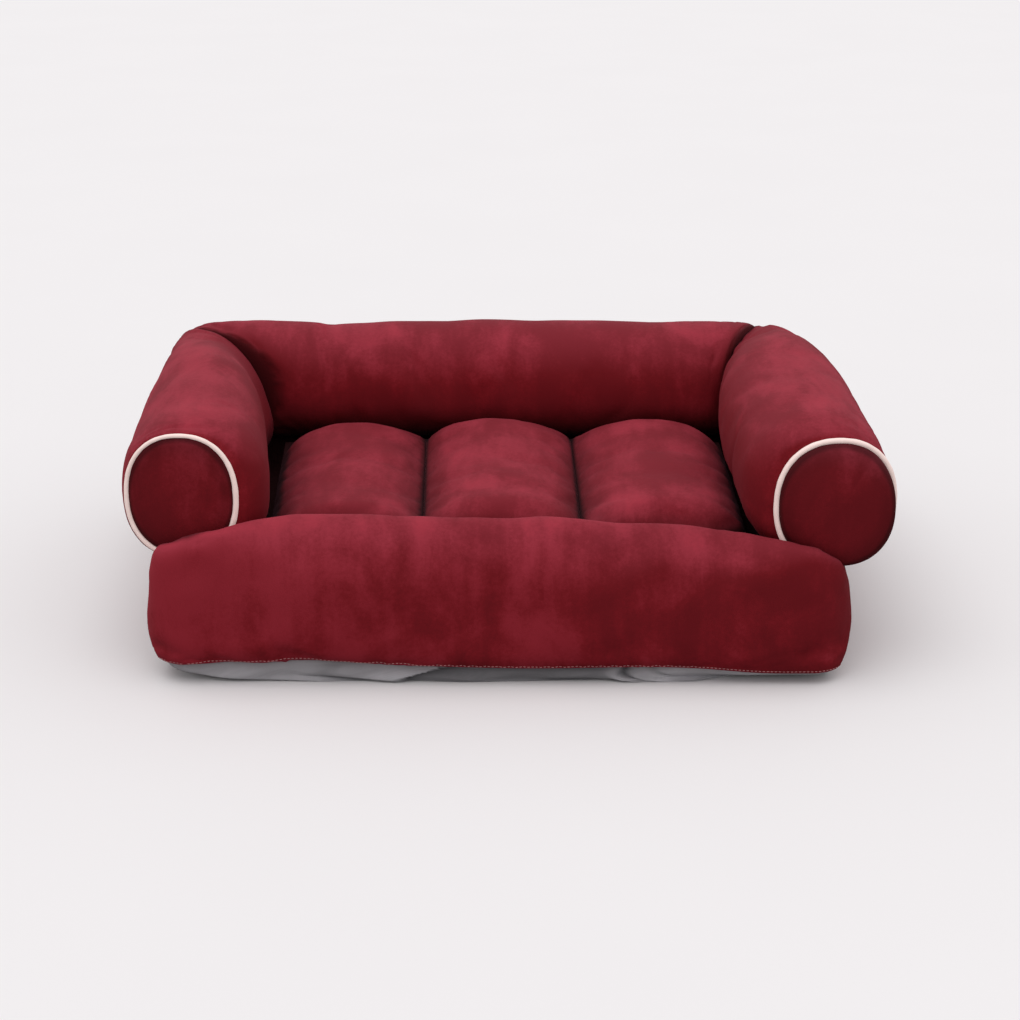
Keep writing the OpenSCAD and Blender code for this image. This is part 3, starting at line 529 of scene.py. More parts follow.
def rounded(count, left, right, low, high, r):
    """Rectangle with round corners, evenly spaced by length from its front left, anticlockwise.

    Gives places (x, y), outward directions, the leg of each point and its share of that leg.
    Even legs are the straight sides and odd ones the corners.
    """
    left, right, low, high = left + r, right - r, low + r, high - r
    runs = [right - left, r * TAU / 4, high - low, r * TAU / 4] * 2
    ends = np.cumsum([0] + runs)
    at = ends[-1] * np.arange(count) / count
    leg = np.searchsorted(ends, at, side="right") - 1
    t = (at - ends[leg]) / np.array(runs)[leg]
    turn = leg // 2 * TAU / 4 - TAU / 4 + np.where(leg % 2 == 1, t * TAU / 4, 0)
    out = np.stack([np.cos(turn), np.sin(turn)], axis=-1)
    centres = np.array([[left, low], [right, low], [right, high], [left, high], [left, low]])
    side = leg // 2
    start = np.where((leg % 2 == 0)[:, None], centres[side], centres[side + 1])
    middle = start + (centres[side + 1] - start) * np.where(leg % 2 == 0, t, 0)[:, None]
    return middle + r * out, out, leg, t


# Share of a front corner's turn that still has the front's stuffed profile
FRONT_CORNER_HOLD = 0.60


def outline(count):
    """The base seen from above: places, outward directions, and shares of front, side, rear.

    Round a corner the share passes from one kind to the next by the smooth step.
    """
    s = bpy.context.scene.bed_sizes
    places, out, leg, t = rounded(count, s.base_left_x, s.base_right_x, FRONT_Y, REAR_Y, s.corner_r)
    kinds = np.array([0, 1, 2, 1, 0])
    here, there = kinds[leg // 2], kinds[leg // 2 + 1]
    hold = np.where(here + there == 1, FRONT_CORNER_HOLD, 0.0)
    gone = np.where(there == 1, (t - hold) / (1 - hold), t / (1 - hold))
    bend = np.where(leg % 2 == 1, smooth(gone), 0)
    share = np.zeros((count, 3))
    rows = np.arange(count)
    share[rows, here] += 1 - bend
    share[rows, there] += bend
    return places, out, share


def rim_height(x):
    """Height of the rim's crest across the bed."""
    stations = [-0.38, -0.365, -0.344, -0.323, -0.27, -0.2, -0.1, 0.0]
    heights = [0.148, 0.153, 0.160, 0.167, 0.173, 0.1765, 0.177, 0.175]
    stations += [0.1, 0.2, 0.25, 0.3, 0.33, 0.345, 0.36]
    heights += [0.171, 0.164, 0.159, 0.153, 0.145, 0.138, 0.130]
    return through(x, stations, heights)


def seam_height(x):
    """Height of the seam under the front, a little uneven where the filling pulls it."""
    stations = [-0.36, -0.2, -0.1, 0.0, 0.2, 0.26, 0.34]
    return through(x, stations, [0.022, 0.0255, 0.021, 0.018, 0.0175, 0.0125, 0.012])


# Height of the base's fullest line, and of the seam under it at the sides and the rear
FULL_Z = 0.080
SIDE_SEAM_Z = 0.019
REAR_SEAM_IN = 0.010
# Powers of the squared ellipses of its profile: below the fullest line, there on the right
# side, the front wall, the front corners and the sides
LOW_POWER = 3.8
SLANT_POWER = 2.6
WALL_POWER = 2.4
CORNER_POWER = 3.6
SIDE_POWER = 4.5
# The rim's crest and inner foot at its ends, where it grows narrower from RIM_END_X outward
RIM_END_X, RIM_END_RUN = 0.225, 0.075
END_CREST_IN, END_FOOT_IN = 0.018, 0.036
# The ledge inside the wall, and the rear wall's height and step where it turns over
LEDGE = 0.010
REAR_TOP_Z, REAR_TURN_K = 0.0888, 4.2


def base_profiles(k, places):
    """Distance in and height at profile step k, 0 to 9, for front, side and rear.

    0 to 3 is a quarter of a squared ellipse from the seam to the fullest line, 3 to 6 one
    from there to the crest or the deck, and 6 to 9 a cosine fall to the rim's inner foot.
    The rear wall is upright and turns over in one such quarter from REAR_TURN_K to 6.
    """
    s = bpy.context.scene.bed_sizes
    x = places[:, 0]
    deck = REST_Z - 0.0003
    turn = np.clip((np.abs(x) - RIM_END_X) / RIM_END_RUN, 0, 1)
    foot = mix(s.rim_foot_in, END_FOOT_IN, turn)
    crest = mix(s.rim_crest_in, END_CREST_IN, turn)
    high, seam = rim_height(x), seam_height(x)
    a = min(k, 3.0) / 3 * TAU / 4
    b = np.clip((k - 3) / 3, 0, 1) * TAU / 4
    c = np.clip((k - 6) / 3, 0, 1)
    low_in = 1 - squared(np.sin(a), LOW_POWER)
    low_up = 1 - squared(np.cos(a), LOW_POWER)
    slant_in = 1 - squared(np.sin(a), SLANT_POWER)
    slant_up = 1 - squared(np.cos(a), SLANT_POWER)
    wall = mix(WALL_POWER, CORNER_POWER, turn)
    high_in = 1 - squared(np.cos(b), wall)
    high_up = squared(np.sin(b), wall)
    edge_in = 1 - squared(np.cos(b), SIDE_POWER)
    edge_up = squared(np.sin(b), SIDE_POWER)
    side_in = np.where(x > 0, s.right_seam_in, s.left_seam_in)
    fall = (1 - np.cos(math.pi * c)) / 2
    if k <= 3:
        front = (s.front_seam_in * low_in, seam + (FULL_Z - seam) * low_up)
        tuck_in, tuck_up = np.where(x > 0, slant_in, low_in), np.where(x > 0, slant_up, low_up)
        side = (side_in * tuck_in, SIDE_SEAM_Z + (FULL_Z - SIDE_SEAM_Z) * tuck_up)
    else:
        front = (crest * high_in + (foot - crest) * c, mix(FULL_Z + (high - FULL_Z) * high_up, deck, fall))
        side = (s.deck_in * edge_in + LEDGE * c, FULL_Z + (deck - FULL_Z) * edge_up)
    if k <= REAR_TURN_K:
        rear_in = np.interp(k, [0.0, 0.5, 1.2], [REAR_SEAM_IN, 0.004, 0.0])
        rear_z = np.interp(k, [0.0, 1.0, 1.2, 5.0], [SIDE_SEAM_Z, 0.040, 0.044, 0.100])
    else:
        over = np.clip((k - REAR_TURN_K) / (6 - REAR_TURN_K), 0, 1) * TAU / 4
        rear_in = s.deck_in * (1 - squared(np.cos(over), WALL_POWER)) + LEDGE * c
        rear_z = mix(REAR_TOP_Z, deck, squared(np.sin(over), WALL_POWER))
    return front, side, (rear_in, rear_z)


def base_ring(k, lines, depth=0.0):
    """Ring of the base at profile step k, moved inward by depth."""
    places, out, share = lines
    inward = np.zeros(len(places))
    height = np.zeros(len(places))
    for weight, (go_in, up) in zip(share.T, base_profiles(k, places)):
        inward += weight * go_in
        height += weight * up
    ring = np.empty((len(places), 3))
    ring[:, :2] = places - out * (inward + depth)[:, None]
    ring[:, 2] = height
    return ring


# The slot in the rear wall that the zip lies in
SLOT_HALF = 0.008
SLOT_END = 0.283
SLOT_DEEP = 0.0085


def zip_recess(points):
    """How far the rear wall goes in at the zip's slot: deep inside its edges, nothing outside."""
    inside_z = smooth((SLOT_HALF + 0.0006 - np.abs(points[:, 2] - ZIP_Z)) / 0.0012)
    inside_x = smooth((SLOT_END + 0.001 - np.abs(points[:, 0])) / 0.003)
    rear = points[:, 1] > REAR_Y - 0.02
    return SLOT_DEEP * inside_z * inside_x * rear


def seat_share(y):
    """How far a place lies along the seat: 0 at its front and 1 at its rear."""
    return (y - SEAT_FRONT) / (SEAT_REAR - SEAT_FRONT)


TRENCH_DEEP = 0.034
TRENCH_HALF = 0.020
TRENCH_OUT = 0.012
# How far the seat's left side runs outward from its front to its rear
SEAT_SPREAD = 0.016


def deck_trench(points):
    """How far the deck sinks round the seat, where the bolsters' feet drag the velvet down.

    Its depth is a smooth step of the distance from a line a little outside the seat's edge.
    """
    s = bpy.context.scene.bed_sizes
    x, y = points[:, 0], points[:, 1]
    left = x - (s.seat_left_x - SEAT_SPREAD * seat_share(y))
    inside = np.minimum(np.minimum(left, s.seat_right_x - x), SEAT_REAR - y)
    deck = (points[:, 2] > REST_Z - 0.003) & (y > FRONT_Y + 0.095)
    return TRENCH_DEEP * smooth(1.25 - np.abs(inside + TRENCH_OUT) / TRENCH_HALF) * deck


# Points round the base, the row of them that the hem is sewn along, and the height of the
# velvet's underside, which the bottom cloth covers
BASE_COLUMNS = 408
HEM_ROW = 9
UNDER_Z = 0.004


class BED_OT_base(bpy.types.Operator):
    """Velvet over the base cushion and its rolled rim, with the slot for the zip"""

    bl_idname = "bed.base"
    bl_label = "Base cushion"

    def execute(self, context):
        s = context.scene.bed_sizes
        lines = outline(BASE_COLUMNS)
        steps = [np.linspace(0, 1.15, 6), np.linspace(1.3, 5.9, 26), np.linspace(6.1, 9.0, 14)]
        rings = [base_ring(k, lines) for k in np.concatenate(steps)]
        hub = np.array([MIDDLE_X, 0.0, rings[-1][0, 2]])
        deck = [mix(rings[-1], hub, t) for t in np.append(np.linspace(0.02, 0.6, 58), (0.7, 0.85))]
        under = base_ring(0, lines, 0.002) - [0, 0, 0.002]
        low_ring = base_ring(0, lines, 0.040)
        low_ring[:, 2] = UNDER_Z
        low_hub = np.array([MIDDLE_X, 0.0, UNDER_Z])
        low_rings = [mix(low_hub, low_ring, t) for t in (0.3, 0.6, 0.85, 1.0)]
        piece = build("base_cushion", low_rings + [under] + rings + deck, low_hub, hub)
        points = read(piece)
        face = normals(piece)
        swell = smooth((points[:, 2] - 0.025) / 0.03) * (1 - smooth((points[:, 1] - 0.27) / 0.02))
        for much, apart, seed in ((0.0022, 0.16, 3), (0.0008, 0.05, 4)):
            points += face * (swell * much * lumps(points, apart, seed))[:, None]
        points[:, 1] -= zip_recess(points)
        points[:, 2] -= deck_trench(points)
        write(piece, points)
        # Held along the hem, on the rear wall and on the rim's inner face
        low = smooth((0.026 - points[:, 2]) / 0.006)
        rear = smooth((points[:, 1] - (REAR_Y - 0.03)) / 0.02)
        inner = smooth((points[:, 1] - (FRONT_Y + 0.085)) / 0.01) * (points[:, 2] > 0.10)
        stuff(piece, np.maximum.reduce([low, rear, inner]), pressure=3.0)
        points = read(piece)
        # Painted shade at the rim's inner foot and near the bolsters; the front is painted from lighter on
        # the left to darker on the right, and a painted highlight lies on the roll of cloth at the hem
        front = 1 - smooth((points[:, 1] - FRONT_Y - 0.02) / 0.05)
        behind = smooth((points[:, 1] - (FRONT_Y + 0.080)) / 0.012)
        foot = smooth((0.158 - points[:, 2]) / 0.03) * behind * (points[:, 2] > 0.07)
        inside = np.minimum(points[:, 0] - s.base_left_x, s.base_right_x - points[:, 0])
        foot *= smooth((inside - 0.03) / 0.02) * smooth((0.25 - points[:, 1]) / 0.01)
        painted_bolster_shade = nearness(points, (arm_form(-1), arm_form(1), back_form()), 0.020)
        hem = smooth((seam_height(points[:, 0]) + 0.003 - points[:, 2]) / 0.002) * front
        brush = -1.1 * points[:, 0] / 0.37 * front
        paint(piece, np.maximum(foot, 0.9 * painted_bolster_shade), brush + 3 * hem, 1.5 * hem)
        piece.data.materials.append(velvet_material("plush"))
        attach(piece, "bed")
        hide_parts("base_cover", "base_fill", "rim_fill")

        sewn = HEM_ROW * BASE_COLUMNS + np.arange(BASE_COLUMNS + 1) % BASE_COLUMNS
        hem = stitches("hem_stitches", points[sewn], normals(piece)[sewn])
        hem.data.materials.append(thread_material("pale_thread", context.scene.bed_colours.thread))
        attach(hem, "bed")
        return {"FINISHED"}


BAG_COLUMNS = 900
BAG_THICK = 0.0012


def bag_folds(x, t):
    """Folds of the bag cloth's front: how far out it lies, and how light (+) or dark (-) it is painted as
    shade and highlights.

    t goes from 0 at the seam to 1 on the floor. The left part laps over the right one along
    a slanting edge, two folds run down from the seam further right, and soft sags between.
    """
    lap = x + 0.103 - 0.033 * (1 - t)
    over = smooth(1 + lap / 0.05) * (lap < 0)
    under = smooth(lap / 0.0025) * (1 - smooth(lap / 0.12))
    first = x - 0.122 - 0.045 * t
    second = x - 0.150 - 0.085 * t
    groove = np.exp(-((first / 0.005) ** 2)) * smooth((0.85 - t) / 0.3)
    ridge = np.exp(-(((first + 0.012) / 0.007) ** 2))
    other = np.exp(-((second / 0.006) ** 2)) * smooth((0.8 - t) / 0.4)
    sag = np.exp(-(((x + 0.178 - 0.03 * t) / 0.014) ** 2))
    out_by = 0.003 * (over + ridge - other - sag) - 0.006 * (under + groove)
    out_by = out_by + 0.0012 * np.sin(x * TAU / 0.083 + 1.1 + 2.0 * t)
    far = smooth((x - 0.09) / 0.09)
    # Painted light and shade: darker under the lap, in the grooves, the other fold and the sag, lighter on
    # the ridge, a broad tone that steps down past the lap and rises towards the right, and darker just
    # under the seam
    painted_fold_light = mix(0.22, -0.38, smooth(lap / 0.003)) + 0.75 * far - 0.30 * under * smooth(1 - lap / 0.03)
    painted_fold_light = painted_fold_light - 0.55 * groove - 0.3 * other - 0.25 * sag + 0.25 * ridge
    return out_by, painted_fold_light - 0.15 * smooth((0.12 - t) / 0.1)


def foot_drawn(x):
    """How far back the line where the bag cloth's front meets the floor is drawn."""
    stations = [-0.24, -0.116, -0.103, -0.084, 0.0, 0.07, 0.115, 0.2, 0.25, 0.29]
    return through(x, stations, [0.0, 0.004, 0.009, 0.0, -0.004, 0.0, 0.005, -0.009, -0.003, 0.006])


class BED_OT_bottom(bpy.types.Operator):
    """Bag cloth under the bed, sewn to the velvet and drawn into soft folds"""

    bl_idname = "bed.bottom"
    bl_label = "Bottom cloth"

    def execute(self, context):
        s = context.scene.bed_sizes
        lines = outline(BAG_COLUMNS)
        seam = base_ring(0, lines)
        flat = np.zeros((BAG_COLUMNS, 1))
        out = np.concatenate([lines[1], flat], axis=1)
        left, right = s.base_left_x + s.left_seam_in, s.base_right_x - s.right_seam_in
        low, high = FRONT_Y + s.front_seam_in, REAR_Y - REAR_SEAM_IN
        into = s.foot_in
        foot, *_ = rounded(BAG_COLUMNS, left + into, right - into, low + into, high - into, s.foot_r)
        foot = np.concatenate([foot, flat], axis=1)
        front = np.clip(-out[:, 1], 0, 1) ** 2
        foot[:, 1] += front * foot_drawn(foot[:, 0])
        # From the seam down to the floor, steep under the seam and then rounding inward
        rows, painted_fold_rows = [], []
        for t in np.linspace(0, 1, 22):
            out_by, painted_fold_light = bag_folds(mix(seam[:, 0], foot[:, 0], t), t)
            out_by = front * out_by * math.sin(math.pi * t**0.8) - 0.001 * (1 - t)
            ring = mix(seam, foot, t**1.8) + out * out_by[:, None]
            ring[:, 2] = (seam[:, 2] - 0.0004) * (1 - quarter(t, 1.7))
            rows.append(ring)
            painted_fold_rows.append(painted_fold_light * front)
        hub = np.array([MIDDLE_X, 0.0, 0.0])
        floor_rings = [mix(rows[-1], hub, t) for t in (0.2, 0.5, 0.8)]
        # The cloth's inner face, raised by its thickness
        outer = rows + floor_rings
        inner = []
        for ring in outer:
            raised = ring - out * BAG_THICK
            raised[:, 2] = np.minimum(ring[:, 2] + BAG_THICK, np.maximum(ring[:, 2], seam[:, 2] - 0.0003))
            inner.append(raised)
        piece = build("bottom_cloth", inner[::-1] + outer, hub + [0, 0, BAG_THICK], hub)
        painted_fold_rows += [np.zeros(BAG_COLUMNS)] * len(floor_rings)
        # The folds' painted shade and highlights go into the painted brush values
        paint(piece, 0.0, np.concatenate([*painted_fold_rows[::-1], *painted_fold_rows, [0.0, 0.0]]))
        piece.data.materials.append(cloth_material("woven_bag_cloth", context.scene.bed_colours.bag_cloth))
        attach(piece, "bed")
        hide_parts("bottom_panel")
        return {"FINISHED"}


# ---------------------------------------------------------------- arms, back and seat


# Points round a bolster's section, and sections along an arm and along the back
ROLL_COUNT = 84
ARM_RINGS, BACK_RINGS = 88, 140


def roll(name, form, shares, count, seed):
    """A bolster's mesh with the soft unevenness of its filling."""
    rows = form.rows(shares, count)
    piece = build(name, rows, rows[0].mean(axis=0), rows[-1].mean(axis=0))
    points = read(piece)
    along, across = points[:, form.axis], points[:, 1 - form.axis]
    start, end = form.start(across), form.end(across)
    ends = smooth(np.minimum(np.abs(along - start), np.abs(end - along)) / 0.02)
    free = smooth((points[:, 2] - REST_Z) / 0.03) * ends
    rise = 0.0013 * lumps(points, 0.15, seed) + 0.0005 * lumps(points, 0.05, seed + 1)
    points += normals(piece) * (free * rise)[:, None]
    points[:, 2] = np.maximum(points[:, 2], REST_Z)
    write(piece, points)
    return piece


def closer_at_ends(count):
    """Shares from 0 to 1, closer together at both ends."""
    t = np.linspace(0, 1, count)
    return mix(t, (1 - np.cos(TAU / 2 * t)) / 2, 0.8)


def held_on_deck(points):
    """1 where a bolster or the seat is sewn down on the deck, 0 above it."""
    return smooth((REST_Z + 0.004 - points[:, 2]) / 0.003)


def at_seam(distance):
    """1 where the cloth is held in a seam at this distance, 0 beyond a few millimetres."""
    return smooth((0.004 - distance) / 0.003)


def painted_seam_shade(distance):
    """How much painted shade darkens the velvet at this distance from a corner seam."""
    return 0.7 * smooth(1 - distance / 0.008)


def arm(side):
    """An arm bolster, held along the disc's seam, the corner seam and the deck.

    Painted shade darkens it low on the inner side, towards the rear and where it faces inward.
    """
    form = arm_form(side)
    name = SIDE_NAMES[side] + "_arm"
    piece = roll(name + "_bolster", form, closer_at_ends(ARM_RINGS), ROLL_COUNT, 11 + side)
    points = read(piece)
    ahead = points[:, 1] - form.start(points[:, 0])
    cut = np.abs(form.end(points[:, 0]) - points[:, 1])
    stuff(piece, np.maximum.reduce([held_on_deck(points), smooth((0.006 - ahead) / 0.004), at_seam(cut)]))
    points = read(piece)
    cut = np.abs(form.end(points[:, 0]) - points[:, 1])
    # Painted shade: low on the inner side, towards the rear, on inward faces and along the corner seam
    low = smooth((0.165 - points[:, 2]) / 0.045) * smooth((0.33 - points[:, 0] * side) / 0.04)
    inner = np.clip(-normals(piece)[:, 0] * side, 0, 1)
    rear = smooth((points[:, 1] - 0.05) / 0.2)
    brush = (0.05 if side < 0 else -0.2) - 0.8 * rear - 1.3 * inner
    paint(piece, np.maximum(0.9 * low, painted_seam_shade(cut)), brush)
    piece.data.materials.append(velvet_material("plush"))
    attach(piece, "bed")
    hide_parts(name + "_cover", name + "_fill")


class BED_OT_arms(bpy.types.Operator):
    """The two rolled arm bolsters"""

    bl_idname = "bed.arms"
    bl_label = "Arm bolsters"

    def execute(self, context):
        arm(-1)
        arm(1)
        return {"FINISHED"}


class BED_OT_back(bpy.types.Operator):
    """The back bolster between the arms"""

    bl_idname = "bed.back"
    bl_label = "Back bolster"

    def execute(self, context):
        form = back_form()
        piece = roll("back_bolster", form, closer_at_ends(BACK_RINGS), ROLL_COUNT, 21)
        points = read(piece)
        cut = np.minimum(points[:, 0] - form.start(points[:, 1]), form.end(points[:, 1]) - points[:, 0])
        stuff(piece, np.maximum(held_on_deck(points), at_seam(cut)))
        points = read(piece)
        cut = np.minimum(points[:, 0] - form.start(points[:, 1]), form.end(points[:, 1]) - points[:, 0])
        # Painted shade low on the front above the seat and along the corner seams
        low = smooth((0.185 - points[:, 2]) / 0.06) * smooth((0.21 - points[:, 1]) / 0.03)
        paint(piece, np.maximum(0.8 * low, painted_seam_shade(cut)), -0.7)
        piece.data.materials.append(velvet_material("plush"))
        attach(piece, "bed")
        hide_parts("back_cover", "back_fill")
        return {"FINISHED"}


def seam_x(edge, y):
    """Place across the bed of the seat's left or right seam."""
    s = bpy.context.scene.bed_sizes
    t = seat_share(y)
    if edge == 1:
        return mix(s.left_seam_x, s.left_seam_x - 0.008, t)
    return mix(s.right_seam_x + 0.006, s.right_seam_x + 0.002, t)


# Powers of a channel's dome, and of the way it rounds off into the seat's front and rear
CHANNEL_POWER, CHANNEL_END_POWER = 0.62, 2.6
# Points across one channel, where neighbours share the one in their seam, and rings along
CHANNEL_COLUMNS = 42
SEAT_RINGS = 72
# Rings at either end of the seat that the stitches in its seams don't reach
UNSEWN_RINGS = 8


def seat_rows():
    """Rings of the seat from front to rear: three domed channels above, flat below.

    With t across a channel from -1 to 1 and e into an end from 0 to 1, a channel stands over
    its seams as high as (1 - t squared) times (1 - e to the power 2.6), and on the seat's
    outer sides as 1 less t squared less e to the power 2.6, both to the power 0.62.
    """
    s = bpy.context.scene.bed_sizes
    a = np.linspace(0, math.pi, SEAT_RINGS)
    y = mix(SEAT_FRONT + 0.0005, SEAT_REAR - 0.0005, mix(a / math.pi, (1 - np.cos(a)) / 2, 0.8))[:, None]
    along = seat_share(y)
    left, right = s.seat_left_x - SEAT_SPREAD * along, s.seat_right_x + 0 * along
    front_e = np.clip(1 - (y - SEAT_FRONT) / s.seat_front_run, 0, 1)
    rear_e = np.clip(1 - (SEAT_REAR - y) / s.seat_rear_run, 0, 1)
    e = np.maximum(front_e, rear_e)
    end = e**CHANNEL_END_POWER
    edges = [left, seam_x(1, y), seam_x(2, y), right]
    crowns = [s.seat_left_crown, s.seat_mid_crown, s.seat_right_crown]
    valley = s.seat_valley * (1 + 0.8 * along)
    across, up = [], []
    for channel in range(3):
        t = np.sin(np.linspace(-TAU / 4, TAU / 4, CHANNEL_COLUMNS)[None, min(channel, 1):])
        low = mix(0.0 if channel == 0 else valley, 0.0 if channel == 2 else valley, (t + 1) / 2)
        across.append(mix(edges[channel], edges[channel + 1], (t + 1) / 2))
        outside = (t < 0) if channel == 0 else (t > 0) & (channel == 2)
        rest = np.where(outside, 1 - t**2 - end, (1 - t**2) * (1 - end))
        dome = np.clip(rest, 0, None) ** CHANNEL_POWER
        up.append(low * np.sqrt(1 - e**2) + (crowns[channel] - low) * dome)
    across, up = np.concatenate(across, axis=1), np.concatenate(up, axis=1)
    top = np.stack([across, np.broadcast_to(y, across.shape), REST_Z + up], axis=-1)
    under = top[:, -2:0:-3].copy()
    under[..., 2] = REST_Z
    return np.concatenate([top, under], axis=1)


class BED_OT_seat(bpy.types.Operator):
    """The seat, quilted in three channels"""

    bl_idname = "bed.seat"
    bl_label = "Quilted seat"

    def execute(self, context):
        rows = seat_rows()
        piece = build("seat_pad", rows, rows[0].mean(axis=0), rows[-1].mean(axis=0))
        points = read(piece)
        inward = -normals(piece)
        free = smooth((points[:, 2] - REST_Z - 0.01) / 0.02)
        uneven = 0.0018 * lumps(points, 0.11, 31) + 0.0006 * lumps(points, 0.04, 32)
        points -= inward * (free * uneven)[:, None]
        for other in (arm_form(-1), arm_form(1), back_form()):
            points = press(points, inward, other, 0.001)
        points[:, 2] = np.maximum(points[:, 2], REST_Z)
        write(piece, points)
        held = held_on_deck(points)
        for edge in (1, 2):
            near = np.abs(points[:, 0] - seam_x(edge, points[:, 1]))
            held = np.maximum(held, 1 - smooth((near - 0.002) / 0.003))
        stuff(piece, held)
        height = read(piece)[:, 2] - REST_Z
        # Painted shade: near black low in the seams and at the sides, fainter higher up
        painted_low_shade = smooth((0.024 - height) / 0.014)
        paint(piece, np.maximum(painted_low_shade, 0.45 * smooth((0.040 - height) / 0.025)), -0.5)
        piece.data.materials.append(velvet_material("plush"))
        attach(piece, "bed")
        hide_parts("seat_cover", "seat_fill_left", "seat_fill_centre", "seat_fill_right")
        shaped = read(piece)[:-2].reshape(rows.shape)
        for seam, side in ((1, "left"), (2, "right")):
            path = shaped[UNSEWN_RINGS:-UNSEWN_RINGS, seam * (CHANNEL_COLUMNS - 1)]
            sewn = stitches(side + "_seat_stitches", path, np.tile([0.0, 0.0, 1.0], (len(path), 1)))
            sewn.data.materials.append(thread_material("dark_thread", context.scene.bed_colours.velvet))
            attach(sewn, "bed")
        return {"FINISHED"}


# ---------------------------------------------------------------- discs and piping


def disc_edge(side, a, out=0.0):
    """Points of the disc's edge, out from it by a length, in the tilted plane of its seam."""
    s = bpy.context.scene.bed_sizes
    x, w, h, top, tilt = disc_sizes(side)
    across = (w / 2 + out) * squared(np.cos(a), SECTION_POWER)
    up = (h / 2 + out) * squared(np.sin(a), SECTION_POWER)
    return np.stack([x + across, s.disc_edge_y + tilt * (across + w / 2) / w, top - h / 2 + up], axis=-1)


DISC_COUNT = 168
DISC_THICK = 0.002
# Power of a disc's dome, and how much it grows where the right disc swells over its piping,
# most at a little below the outer side
DOME_POWER, SWOLLEN_POWER = 2.4, 2.2
SWOLLEN_AT = -0.6


def disc(side):
    """A disc domed over its filling, with painted shade in a ring along the piping that fades towards the
    middle.

    The dome is a quarter of a squared ellipse from the edge to the middle of the face. On
    the right disc's outer side it is squarer and goes out past its edge by a sine.
    """
    s = bpy.context.scene.bed_sizes
    name = SIDE_NAMES[side]
    a = TAU * np.arange(DISC_COUNT) / DISC_COUNT
    edge = disc_edge(side, a)
    centre = edge.mean(axis=0)
    swollen = np.clip(np.cos(a - SWOLLEN_AT), 0, 1) * (side > 0)
    face_y = s.disc_edge_y - s.disc_dome - s.right_disc_bulge * (side > 0)
    power = DOME_POWER + SWOLLEN_POWER * swollen
    away = np.stack([np.cos(a), 0 * a, np.sin(a)], axis=-1)
    rows = []
    for b in np.linspace(0.02, TAU / 4, 19)[:-1]:
        ring = mix(centre, edge, (np.cos(b) ** (2 / power))[:, None])
        ring[:, 1] = mix(edge[:, 1], face_y, np.sin(b) ** (2 / power))
        rows.append(ring + away * (s.right_disc_over * swollen * np.sin(2 * b))[:, None])
    behind = [0, DISC_THICK, 0]
    back = [mix(centre, edge, t) + behind for t in (0.97, 0.6, 0.3)]
    front = np.array([centre[0], face_y, centre[2]])
    piece = build(name + "_disc", rows[::-1] + back, front, centre + behind)
    finer(piece)
    points = read(piece) - centre
    _, w, h, *_ = disc_sizes(side)
    level = np.hypot(points[:, 0] * 2 / w, points[:, 2] * 2 / h)
    # Painted shade: darkest along the piping, fainter further in
    ring = 0.45 * smooth((level - 0.92) / 0.06) + 0.25 * smooth((level - 0.6) / 0.3)
    paint(piece, ring, -0.1 if side < 0 else -0.4)
    # Painted shade: the disc takes a darker copy of the velvet
    piece.data.materials.append(velvet_material("shaded_disc_plush", 0.88))
    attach(piece, "bed")
    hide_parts(name + "_arm_disc")


# Circles along the piping, and points round each circle
PIPING_COUNT, PIPING_AROUND = 180, 16
# Share of its radius that the piping's middle line lies outside the disc's edge, and how
# far it lies before the seam's plane
PIPING_OUT, PIPING_AHEAD = 0.75, 0.0012
# How many times the slanting threads' pattern goes round the piping
THREAD_TURNS = 60


def piping(side):
    """Piping round a disc: a circle carried along the disc's edge, a little uneven.

    The left one is drawn into its seam along the top, so it is thinner there.
    """
    s = bpy.context.scene.bed_sizes
    name = SIDE_NAMES[side]
    r = s.piping_d / 2
    a = TAU * np.arange(PIPING_COUNT) / PIPING_COUNT
    path = disc_edge(side, a, r * PIPING_OUT) - [0, PIPING_AHEAD, 0]
    ahead = unit(np.roll(path, -1, axis=0) - np.roll(path, 1, axis=0))
    front = np.broadcast_to([0.0, -1.0, 0.0], ahead.shape)
    away = unit(np.cross(ahead, front))
    thick = r * (1 + 0.05 * np.sin(a * 23) * np.sin(a * 7 + 1))
    if side < 0:
        thick = thick * (0.95 + 0.09 * np.cos(a) - 0.20 * np.clip(np.sin(a), 0, 1))
    b = (TAU * np.arange(PIPING_AROUND) / PIPING_AROUND)[None, :, None]
    around = np.cos(b) * away[:, None] + np.sin(b) * front[:, None]
    piece = build(name + "_piping", path[:, None] + thick[:, None, None] * around)
    length = np.concatenate([[0], np.cumsum(np.linalg.norm(np.diff(path, axis=0), axis=1))])
    put_uv(piece, length / length[-1] * THREAD_TURNS, np.arange(PIPING_AROUND) / PIPING_AROUND)
    piece.data.materials.append(piping_material("satin_piping", bpy.context.scene.bed_colours.piping))
    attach(piece, "bed")
    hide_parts(name + "_arm_piping")


def put_uv(piece, u, v):
    """Gives a ring of quads a map: u along its rows and v round them.

    The quads that close it, either way, go on past the last value and not back to the first.
    """
    corner = np.zeros(len(piece.data.loops), np.int32)
    piece.data.loops.foreach_get("vertex_index", corner)
    places = []
    for values, index in zip((u, v), np.divmod(corner.reshape(-1, 4), len(v))):
        closing = (np.ptp(index, axis=1, keepdims=True) > 1) & (index == 0)
        places.append(values[index] + closing * (values[-1] + values[1] - values[0]))
    layer = piece.data.uv_layers.new(name="UVMap")
    layer.data.foreach_set("uv", np.stack(places, axis=-1).astype(np.float32).ravel())


class BED_OT_discs(bpy.types.Operator):
    """The oval discs at the front of the arms, with their piping"""

    bl_idname = "bed.discs"
    bl_label = "Discs and piping"

    def execute(self, context):
        for side in (-1, 1):
            disc(side)
            piping(side)
        return {"FINISHED"}


# ---------------------------------------------------------------- materials


